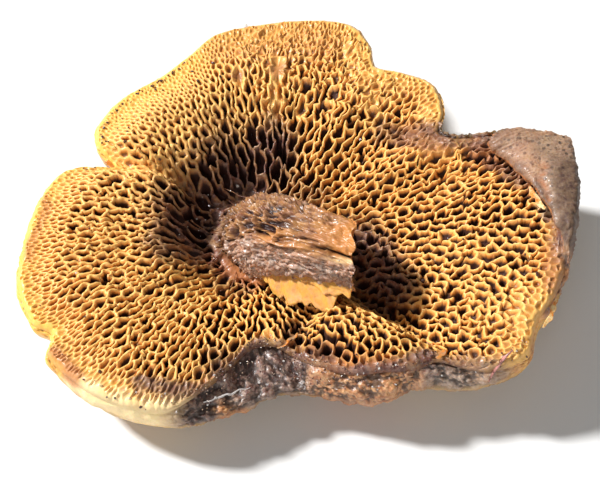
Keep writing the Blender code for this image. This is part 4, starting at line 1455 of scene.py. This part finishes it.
class MUSHROOM_OT_stem(bpy.types.Operator):
    """Make the stub of the stem, netted at its foot, soaked on its near side and torn at its end"""

    bl_idname = "mushroom.stem"
    bl_label = "Stem"

    def execute(self, context):
        shape = bmesh.new()
        values = {"damp": [], "torn": [], "blush": [], "cream": [], "depth": []}
        rings = []
        for k in range(STEM_RINGS):
            step = STEM_PATH_STEPS * k / (STEM_RINGS - 1)
            ring = []
            for i in range(STEM_SIDES):
                point, marks = stem_point(2 * math.pi * i / STEM_SIDES, step)
                ring.append(shape.verts.new(point))
                for title in values:
                    values[title].append(marks[title])
            rings.append(ring)
        skin_over(shape, rings)
        end = sum((v.co for v in rings[-1]), Vector()) / STEM_SIDES
        axis = stem_section(STEM_PATH_STEPS)[1]
        last = rings[-1]
        mean = sum((v.co - end).length for v in last) / STEM_SIDES
        for keep in END_RINGS:
            inner = []
            for v, first in zip(last, rings[-1]):
                away = first.co - end
                spot = end + away * keep * (1 + (mean / away.length - 1) * min(1.0, 2.5 * (1 - keep)))
                rough = ripple(spot, 0.8) + 0.8 * ripple(spot, 0.35)
                spot = spot - axis * MM * (1.2 * (1 - keep) * keep * 2 - 0.35 * rough)
                inner.append(shape.verts.new(spot))
                values["damp"].append(0.0)
                values["torn"].append(1.0)
                values["blush"].append(0.35 * max(0.0, rough))
                values["cream"].append(0.5 * max(0.0, rough))
                # The torn end is darker in its dips: painted shade through the depth mark
                values["depth"].append(0.4 * max(0.0, -rough))
            skin_between(shape, last, inner)
            last = inner
        close_with_point(shape, last, end - axis * (0.4 * MM))
        close_with_point(shape, rings[0], place(0.0, 0.0, STEM_PATH[0][1] * MM))
        for title, value in (("damp", 0.0), ("torn", 1.0), ("blush", 0.2), ("cream", 0.0), ("depth", 0.2)):
            values[title] += [value, value]
        shape.verts.index_update()
        material = new_material(
            "stem_flesh", stem_colour, wet_roughness(0.3, 0.65, 1200.0),
            (2200.0, 3200.0, 0.5, 0.6, 0.12),
            **soft_flesh(0.1, 0.8, 0.22))
        finish_piece("stem_stub", shape, material, "stem", values)
        return {"FINISHED"}


# Torn skin, threads, grains and the needle
# Name, turn round the stem, steps along it from and to, how far it hangs in mm, and noise place
TORN_SKINS = (
    ("torn_skin_long", 284, 2.3, 4.6, 6.6, 0), ("torn_skin_end", 280, 3.5, 5, 3, 7),
    ("torn_skin_under", 300, 2, 4.4, 2.6, 14),
)
TORN_THICKNESS = 0.22 * MM
TORN_ROOT_DEPTH = 0.5 * MM
LAST_TORN_STEP = 4.95
HANG = Vector((0.28, -0.86, -0.30))


def sheet_along_stem(name, side, start, end, width, seed):
    """A ragged sheet of skin that peels off the stem towards the viewer."""

    def bend(along, out):
        step = min(start + (end - start) * along, LAST_TORN_STEP)
        base = stem_point(math.radians(side), step)[0]
        outward = (base - stem_section(step)[0]).normalized()
        ragged = 0.5 + 0.5 * along + 0.16 * noise_at(along * 2.6, seed, 0)
        ragged += 0.1 * noise_at(along * 11.0, seed, 3) + 0.08 * noise_at(along * 30.0, seed, 5)
        ragged *= soft_step(0.0, 0.4, along) * (1 - 0.9 * soft_step(0.74, 1.0, along))
        length = width * MM * max(0.04, ragged) * out
        wave = 0.7 * MM * out * noise_at(along * 5.0, out * 2.0, seed + 5)
        return base - outward * TORN_ROOT_DEPTH + HANG * length + outward * wave

    return thin_sheet(name, 56, 16, TORN_THICKNESS, bend)


class MUSHROOM_OT_torn_skin(bpy.types.Operator):
    """Hang the torn orange skin along the near side of the stem"""

    bl_idname = "mushroom.torn_skin"
    bl_label = "Torn skin"

    def execute(self, context):
        material = new_material(
            "torn_skin", torn_colour, wet_roughness(0.3, 0.6, 1200.0),
            (2200.0, 3200.0, 0.3, 0.35, 0.08),
            **soft_flesh(0.25, 0.8, 0.3, radius=(1.0, 0.45, 0.12)))
        for torn in TORN_SKINS:
            dress(sheet_along_stem(*torn), material)
        return {"FINISHED"}


def tube_between(shape, path, radii, sides=6):
    """A closed tapering tube along a path."""
    rings = []
    across = Vector((0.3, 0.2, 1.0)).normalized()
    for k, point in enumerate(path):
        ahead = path[min(k + 1, len(path) - 1)] - path[max(k - 1, 0)]
        ahead.normalize()
        first = ahead.cross(across).normalized()
        second = ahead.cross(first)
        ring = []
        for i in range(sides):
            turn = 2 * math.pi * i / sides
            away = first * math.cos(turn) + second * math.sin(turn)
            ring.append(shape.verts.new(point + away * radii[k]))
        rings.append(ring)
    skin_over(shape, rings)
    close_with_point(shape, rings[0], path[0])
    close_with_point(shape, rings[-1], path[-1])


THREAD_COUNT = 34
THREAD_STEPS = 8


class MUSHROOM_OT_threads(bpy.types.Operator):
    """Stretch wet threads of torn tissue between the stem and the walls of the hollow"""

    bl_idname = "mushroom.threads"
    bl_label = "Threads"

    def execute(self, context):
        rng = random.Random(11)
        shape = bmesh.new()
        for number in range(THREAD_COUNT):
            side = rng.uniform(118, 262)
            step = rng.uniform(0.3, 2.6) if side < 225 else rng.uniform(0.3, 1.2)
            start = stem_point(math.radians(side), step)[0]
            bearing, radius = polar(start.x, start.y)
            bearing += rng.uniform(-28, 28)
            reach = radius + rng.uniform(1.5, 5.0) * MM
            reach = max(reach, FOOT_RADIUS + 1.5 * MM)
            end = place(bearing, reach, surface_height(bearing, reach) + rng.uniform(-0.5, 0.1) * MM)
            sag = rng.uniform(0.3, 1.1) * MM
            path = []
            for k in range(THREAD_STEPS + 1):
                share = k / THREAD_STEPS
                spot = start.lerp(end, share)
                spot += noise.noise_vector(Vector((share * 2.2, number * 3.7, 1.0))) * 0.45 * MM
                spot.z -= sag * math.sin(math.pi * share)
                path.append(spot)
            thick = rng.uniform(0.05, 0.12) * MM
            radii = [thick * (0.5 + 0.9 * abs(2 * k / THREAD_STEPS - 1) ** 2 + 0.3 * rng.random())
                     for k in range(THREAD_STEPS + 1)]
            tube_between(shape, path, radii)
        material = new_material("wet_threads", two_tones("damp", "stem", 900.0), 0.25,
                                Coat_Weight=0.6, Coat_Roughness=0.08)
        finish_piece("threads", shape, material)
        return {"FINISHED"}


# Soil and sand: bearing and radius share from, to, count, smallest and largest diameter in mm.
# A share of 1 is the pore edge and 2 the outermost skin
SOIL_SPREADS = (
    ((112, 152), (0.62, 1.3), 70, 0.22, 0.6), ((95, 120), (0.8, 1.2), 8, 0.2, 0.45),
    ((150, 235), (0.5, 1.3), 26, 0.18, 0.4), ((235, 262), (1, 1.8), 16, 0.2, 0.45),
    ((256, 300), (1, 1.9), 190, 0.16, 0.4), ((300, 330), (0.9, 1.9), 50, 0.18, 0.45),
    ((335, 390), (0.4, 1), 10, 0.25, 0.6),
)
SAND_SPREADS = (
    ((254, 300), (0.98, 1.9), 150, 0.12, 0.28), ((300, 330), (1, 1.9), 40, 0.12, 0.26),
    ((240, 256), (1, 1.5), 24, 0.14, 0.3), ((120, 150), (0.75, 1.3), 20, 0.14, 0.26),
)
# Single soil grains that stand out: place in mm from the foot, and diameter in mm
SINGLE_GRAINS = (
    (-26, 4.2, 0.45), (-26.7, -5.9, 0.4), (-24, -16.3, 0.35), (-21.4, -24.6, 0.6), (-23.6, -25.6, 0.4),
    (-20.4, -28, 0.4), (-15.8, -29.4, 0.55), (28.5, -3.8, 0.5), (38, -11.3, 0.9), (22.8, -9.2, 0.7),
    (-20, 12, 0.6), (-9.6, 22.5, 0.8), (-7.5, 26, 0.6), (-6.3, 23.3, 0.7), (36.6, -8, 0.5),
)


def grain_models():
    """Three angular grains, modelled once and copied."""
    models = []
    for seed in range(3):
        grain = primitive("ico_sphere", subdivisions=1, radius=0.5)
        bpy.ops.object.mode_set(mode="EDIT")
        bpy.ops.transform.resize(value=(1.0, 0.75, 0.6))
        bpy.ops.object.mode_set(mode="OBJECT")
        for v in grain.data.vertices:
            v.co *= 1.0 + 0.5 * noise.noise(v.co * 2.0 + Vector((9.0 * seed, 0, 0)))
        models.append(model_to_copy(grain))
    return models


def heap_of_grains(name, spots, material, seed, models):
    """Copies of the models at the given places and sizes, joined in one mesh."""
    rng = random.Random(seed)
    corners, faces = [], []
    first = 0
    for spot, size in spots:
        shape, sides = rng.choice(models)
        turned = Matrix.Rotation(rng.uniform(0, 6.28), 3, rng.choice("XYZ"))
        turned = np.array(turned @ Matrix.Rotation(rng.uniform(0, 6.28), 3, rng.choice("XYZ")))
        corners.append(shape @ turned.T * size + np.array(spot))
        faces += [tuple(first + i for i in side) for side in sides]
        first += len(shape)
    mesh = bpy.data.meshes.new(name)
    mesh.from_pydata(np.concatenate(corners).tolist(), [], faces)
    obj = bpy.data.objects.new(name, mesh)
    bpy.context.scene.collection.objects.link(obj)
    dress(obj, material)
    return obj


def spread_spots(spreads, seed):
    rng = random.Random(seed)
    spots = []
    for bearings, shares, count, small, large in spreads:
        for k in range(count):
            bearing = rng.uniform(*bearings)
            share = rng.uniform(*shares)
            edge, outer = pore_edge(bearing), outer_radius(bearing)
            radius = edge * share if share < 1.0 else edge + (share - 1.0) * (outer - edge)
            size = (small + (large - small) * rng.random() ** 2) * MM
            spots.append((place(bearing, radius, top_height(bearing, radius) + 0.1 * size), size))
    return spots


class MUSHROOM_OT_grains(bpy.types.Operator):
    """Strew soil and sand over the margin and the near skin"""

    bl_idname = "mushroom.grains"
    bl_label = "Soil and sand"

    def execute(self, context):
        soil = new_material(
            "soil", two_tones("soil", "damp", 3000.0), 0.45,
            (5000.0, 7000.0, 0.5, 0.5, 0.05))
        sand = new_material(
            "sand", two_tones("sand", "grey", 700.0), 0.15,
            (5000.0, 7000.0, 0.5, 0.4, 0.04),
            Coat_Weight=0.5, Coat_Roughness=0.05)
        spots = spread_spots(SOIL_SPREADS, 5)
        for x, y, size in SINGLE_GRAINS:
            spots.append((on_surface(x, y, 0.15 * MM), size * MM))
        models = grain_models()
        heaps = (("soil_grains", spots, soil, 21), ("sand_grains", spread_spots(SAND_SPREADS, 6), sand, 22))
        for name, places, material, seed in heaps:
            heap_of_grains(name, places, material, seed, models).data.shade_flat()
        return {"FINISHED"}


# Wet beads: bearing, share as for the grains, count, smallest and largest diameter in mm
BEAD_SPREADS = (
    ((236, 262), (1, 1.8), 12, 0.2, 0.45), ((256, 300), (1, 1.8), 22, 0.2, 0.42),
    ((300, 330), (1, 1.9), 14, 0.2, 0.4), ((135, 200), (0.22, 0.42), 26, 0.15, 0.32),
)
# Single white specks: place in mm from the foot, and diameter in mm. The speck at (-3.8, 9.9) in the hollow
# is a painted glint.
WHITE_SPECKS = ((-2.8, 33.4, 1), (-3.8, 9.9, 0.5), (-25.6, -9.6, 0.35), (14.4, 14.6, 0.4))
STEM_BEADS = 46
FLAT_BEAD = (1.0, 1.0, 0.6)
# The white slime along the near left margin, partly a painted wet highlight: places in mm from the foot
SLIME_PATH = ((-7.6, -28.2), (-6.4, -27.8), (-5.2, -27.2), (-4, -26.6), (-2.6, -26.1), (-1.2, -25.6))
SLIME_WIDTH = 0.5 * MM
SLIME_STEPS = 25


class MUSHROOM_OT_wet_beads(bpy.types.Operator):
    """Set whitish wet beads, partly painted glints, on the near skin, the hollow and the stem, and the
    streak of slime
    """

    bl_idname = "mushroom.wet_beads"
    bl_label = "Wet beads"

    def execute(self, context):
        corners, faces = model_to_copy(primitive("uv_sphere", segments=10, ring_count=6, radius=0.5))
        model = [(corners * FLAT_BEAD, faces)]
        rng = random.Random(31)
        spots = spread_spots(BEAD_SPREADS, 32)
        for x, y, size in WHITE_SPECKS:
            spots.append((on_surface(x, y), size * MM))
        for number in range(STEM_BEADS):
            point = stem_point(math.radians(rng.uniform(150, 292)), rng.uniform(0.6, 4.8))[0]
            spots.append((point, rng.uniform(0.14, 0.34) * MM))
        # The beads' whitish colour is partly painted glint, over real wet beads
        material = new_material(
            "wet_beads", (0.9, 0.86, 0.82, 1.0), 0.05, Transmission_Weight=0.55, IOR=1.34,
            Coat_Weight=0.5, Coat_Roughness=0.02)
        heap_of_grains("wet_beads", spots, material, 33, model)
        shape = bmesh.new()
        path, radii = [], []
        for k in range(SLIME_STEPS + 1):
            at = (len(SLIME_PATH) - 1) * k / SLIME_STEPS
            i = min(int(at), len(SLIME_PATH) - 2)
            x, y = (a + (at - i) * (b - a) for a, b in zip(SLIME_PATH[i], SLIME_PATH[i + 1]))
            spot = on_surface(x, y, 0.1 * MM)
            path.append(spot + noise.noise_vector(spot / (1.2 * MM)) * 0.3 * MM)
            thin = SLIME_WIDTH * (0.5 + 0.4 * noise_at(k * 0.45, 2.0, 0.0))
            radii.append(max(0.05 * MM, 0.6 * thin * math.sin(math.pi * (k + 1) / (SLIME_STEPS + 2))))
        tube_between(shape, path, radii, 8)
        # The slime's whitish colour is partly painted wet highlight
        slime = new_material("slime", (0.82, 0.76, 0.72, 1.0), 0.12, Transmission_Weight=0.3,
                             Coat_Weight=0.6, Coat_Roughness=0.05)
        finish_piece("slime_streak", shape, slime)
        return {"FINISHED"}


# Loose scraps of tissue: name, start and end of the edge they stand on, in mm from the foot and
# height in mm, how far they reach as (x, y, z) in mm, and which colour they have
SCRAPS = (
    ("scrap_beside_fold", (38, 2, 16.6), (39.8, -1.6, 16.6), (-0.9, -0.9, -0.2), "cream"),
    ("scrap_translucent", (40.8, -1.4, 15.2), (41.6, -6.6, 15.2), (1.3, 0.3, 0.5), "blush"),
    ("scrap_right_upper", (40.9, -13.2, 13.4), (38.4, -18.4, 13), (0.8, -0.5, -0.2), "cream"),
    ("scrap_top", (1.2, 32.6, 11.2), (4, 32.9, 11.2), (0.2, 1, 0.5), "blush"),
    ("scrap_notch", (-22.4, 10.6, 9.6), (-20.4, 8.2, 9.8), (-1.3, 0.4, 0.5), "torn"),
    ("scrap_near_cleft", (2.4, -19.8, 9.4), (5, -17.6, 9.6), (0.7, -0.4, 0.9), "grey"),
    ("scrap_near_edge", (20.6, -23.4, 11.4), (25, -21.4, 12.2), (0.6, -1.3, 0.1), "grey"),
)
SCRAP_THICKNESS = 0.14 * MM


class MUSHROOM_OT_scraps(bpy.types.Operator):
    """Add the thin loose scraps of tissue that stand up along the margin"""

    bl_idname = "mushroom.scraps"
    bl_label = "Scraps"

    def execute(self, context):
        for number, (name, start, end, reach, shade) in enumerate(SCRAPS):
            start, end, reach = (Vector(part) * MM for part in (start, end, reach))

            def bend(along, out):
                ragged = 0.75 + 0.5 * noise_at(along * 3.0, number * 5.0, 0)
                ragged += 0.3 * noise_at(along * 9.0, number * 5.0, 2)
                ragged *= math.sin(math.pi * (0.04 + 0.92 * along)) ** 0.6
                spot = Vector((FOOT[0], FOOT[1], 0)) + start.lerp(end, along) + reach * (ragged * out)
                return spot + noise.noise_vector(spot / (1.4 * MM)) * 0.35 * MM

            scrap = thin_sheet(name, 26, 10, SCRAP_THICKNESS, bend)
            material = new_material(
                name, two_tones(shade, "wall", 900.0), 0.35,
                (2200.0, 3200.0, 0.4, 0.3, 0.06),
                **soft_flesh(0.3, 0.6, 0.3, 0.12))
            dress(scrap, material)
        return {"FINISHED"}


# Ends of the needle, in mm from the foot and height in mm
NEEDLE_ENDS = ((31, -25.4, 10.6), (34, -22.6, 14.6))
NEEDLE_WIDTH = 0.5 * MM
NEEDLE_BEND = 0.35 * MM


class MUSHROOM_OT_needle(bpy.types.Operator):
    """Lay the pink-brown needle over the near right margin"""

    bl_idname = "mushroom.needle"
    bl_label = "Needle"

    def execute(self, context):
        start, end = (Vector((FOOT[0] + x * MM, FOOT[1] + y * MM, z * MM)) for x, y, z in NEEDLE_ENDS)
        length = (end - start).length
        needle = primitive("cylinder", vertices=12, radius=NEEDLE_WIDTH / 2, depth=length)
        needle.name = "needle"
        bpy.ops.object.mode_set(mode="EDIT")
        for share in (0.2, -0.2):
            bpy.ops.mesh.select_all(action="SELECT")
            bpy.ops.mesh.bisect(plane_co=(0, 0, share * length), plane_no=(0, 0, 1))
        bpy.ops.object.mode_set(mode="OBJECT")
        turn = (end - start).to_track_quat("Z", "Y").to_matrix()
        for v in needle.data.vertices:
            along = v.co.z / length
            taper = 1.0 - 0.7 * abs(2 * along) ** 3
            v.co.x = v.co.x * taper + NEEDLE_BEND * (1 - 4 * along * along)
            v.co.y *= 0.6 * taper
            v.co = (start + end) / 2 + turn @ v.co
        material = new_material(
            "needle", two_tones("needle", "damp", 1400.0), 0.35,
            (3000.0, 5000.0, 0.3, 0.3, 0.05),
            Coat_Weight=0.3, Coat_Roughness=0.2)
        dress(needle, material)
        return {"FINISHED"}


CAMERA_AIM = Vector((0.3 * MM, -4.6 * MM, 9.0 * MM))
CAMERA_DISTANCE = 0.238
# Name, strength, angle in degrees, and the direction that it shines from
SUNS = (("key_light", 5.2, 7, (-0.78, 0.30, 0.74)), ("fill_light", 0.8, 40, (-0.25, -0.85, 0.5)))
WORLD_STRENGTH = 0.19


class MUSHROOM_OT_stage(bpy.types.Operator):
    """Lay the floor, hang the lights and set the camera"""

    bl_idname = "mushroom.stage"
    bl_label = "Stage"

    def execute(self, context):
        scene = context.scene
        floor = primitive("plane", size=4.0, location=(0.0, 0.0, 0.0))
        floor.name = "floor"
        floor.data.materials.append(new_material("floor_paint", (*colours().floor, 1.0), 0.6))
        elevation = sizes().camera_height
        camera = bpy.data.objects.new("camera", bpy.data.cameras.new("camera"))
        camera.data.lens = 100.0
        camera.data.sensor_width = 36.0
        camera.data.clip_start = 0.01
        back = Vector((0.0, -math.cos(elevation), math.sin(elevation)))
        camera.location = CAMERA_AIM + back * CAMERA_DISTANCE
        camera.rotation_euler = (math.pi / 2 - elevation, 0.0, 0.0)
        scene.collection.objects.link(camera)
        scene.camera = camera
        for name, strength, angle, direction in SUNS:
            sun = bpy.data.objects.new(name, bpy.data.lights.new(name, "SUN"))
            sun.data.energy = strength
            sun.data.angle = math.radians(angle)
            sun.rotation_euler = Vector(direction).to_track_quat("Z", "Y").to_euler()
            scene.collection.objects.link(sun)
        world = bpy.data.worlds.new("studio")
        world.use_nodes = True
        sky = world.node_tree.nodes["Background"].inputs
        sky["Color"].default_value = (1.0, 1.0, 1.0, 1.0)
        sky["Strength"].default_value = WORLD_STRENGTH
        scene.world = world
        scene.view_settings.view_transform = "Standard"
        return {"FINISHED"}


class MUSHROOM_PT_panel(bpy.types.Panel):
    """Lists the sizes, the colours and the pieces"""

    bl_label = "Chicken fat suillus"
    bl_idname = "MUSHROOM_PT_panel"
    bl_space_type = "VIEW_3D"
    bl_region_type = "UI"
    bl_category = "Mushroom"

    def draw(self, context):
        for group in (context.scene.mushroom_sizes, context.scene.mushroom_colours):
            box = self.layout.box()
            for title in group.bl_rna.properties.keys():
                if title not in ("rna_type", "name"):
                    box.prop(group, title)
        for operator in OPERATORS:
            self.layout.operator(operator.bl_idname)


OPERATORS = (
    MUSHROOM_OT_stage,
    MUSHROOM_OT_cap,
    MUSHROOM_OT_pore_layer,
    MUSHROOM_OT_stem,
    MUSHROOM_OT_torn_skin,
    MUSHROOM_OT_threads,
    MUSHROOM_OT_grains,
    MUSHROOM_OT_wet_beads,
    MUSHROOM_OT_scraps,
    MUSHROOM_OT_needle,
)
CLASSES = (MushroomSizes, MushroomColours, *OPERATORS, MUSHROOM_PT_panel)


def register():
    noise.seed_set(NOISE_SEED)
    for kind in CLASSES:
        bpy.utils.register_class(kind)
    bpy.types.Scene.mushroom_sizes = bpy.props.PointerProperty(type=MushroomSizes)
    bpy.types.Scene.mushroom_colours = bpy.props.PointerProperty(type=MushroomColours)


def unregister():
    del bpy.types.Scene.mushroom_colours
    del bpy.types.Scene.mushroom_sizes
    for kind in reversed(CLASSES):
        bpy.utils.unregister_class(kind)


def main():
    register()
    bpy.ops.mushroom.stage()
    bpy.ops.mushroom.cap()
    bpy.ops.mushroom.pore_layer()
    bpy.ops.mushroom.stem()
    bpy.ops.mushroom.torn_skin()
    bpy.ops.mushroom.threads()
    bpy.ops.mushroom.grains()
    bpy.ops.mushroom.wet_beads()
    bpy.ops.mushroom.scraps()
    bpy.ops.mushroom.needle()


if __name__ == "__main__":
    main()
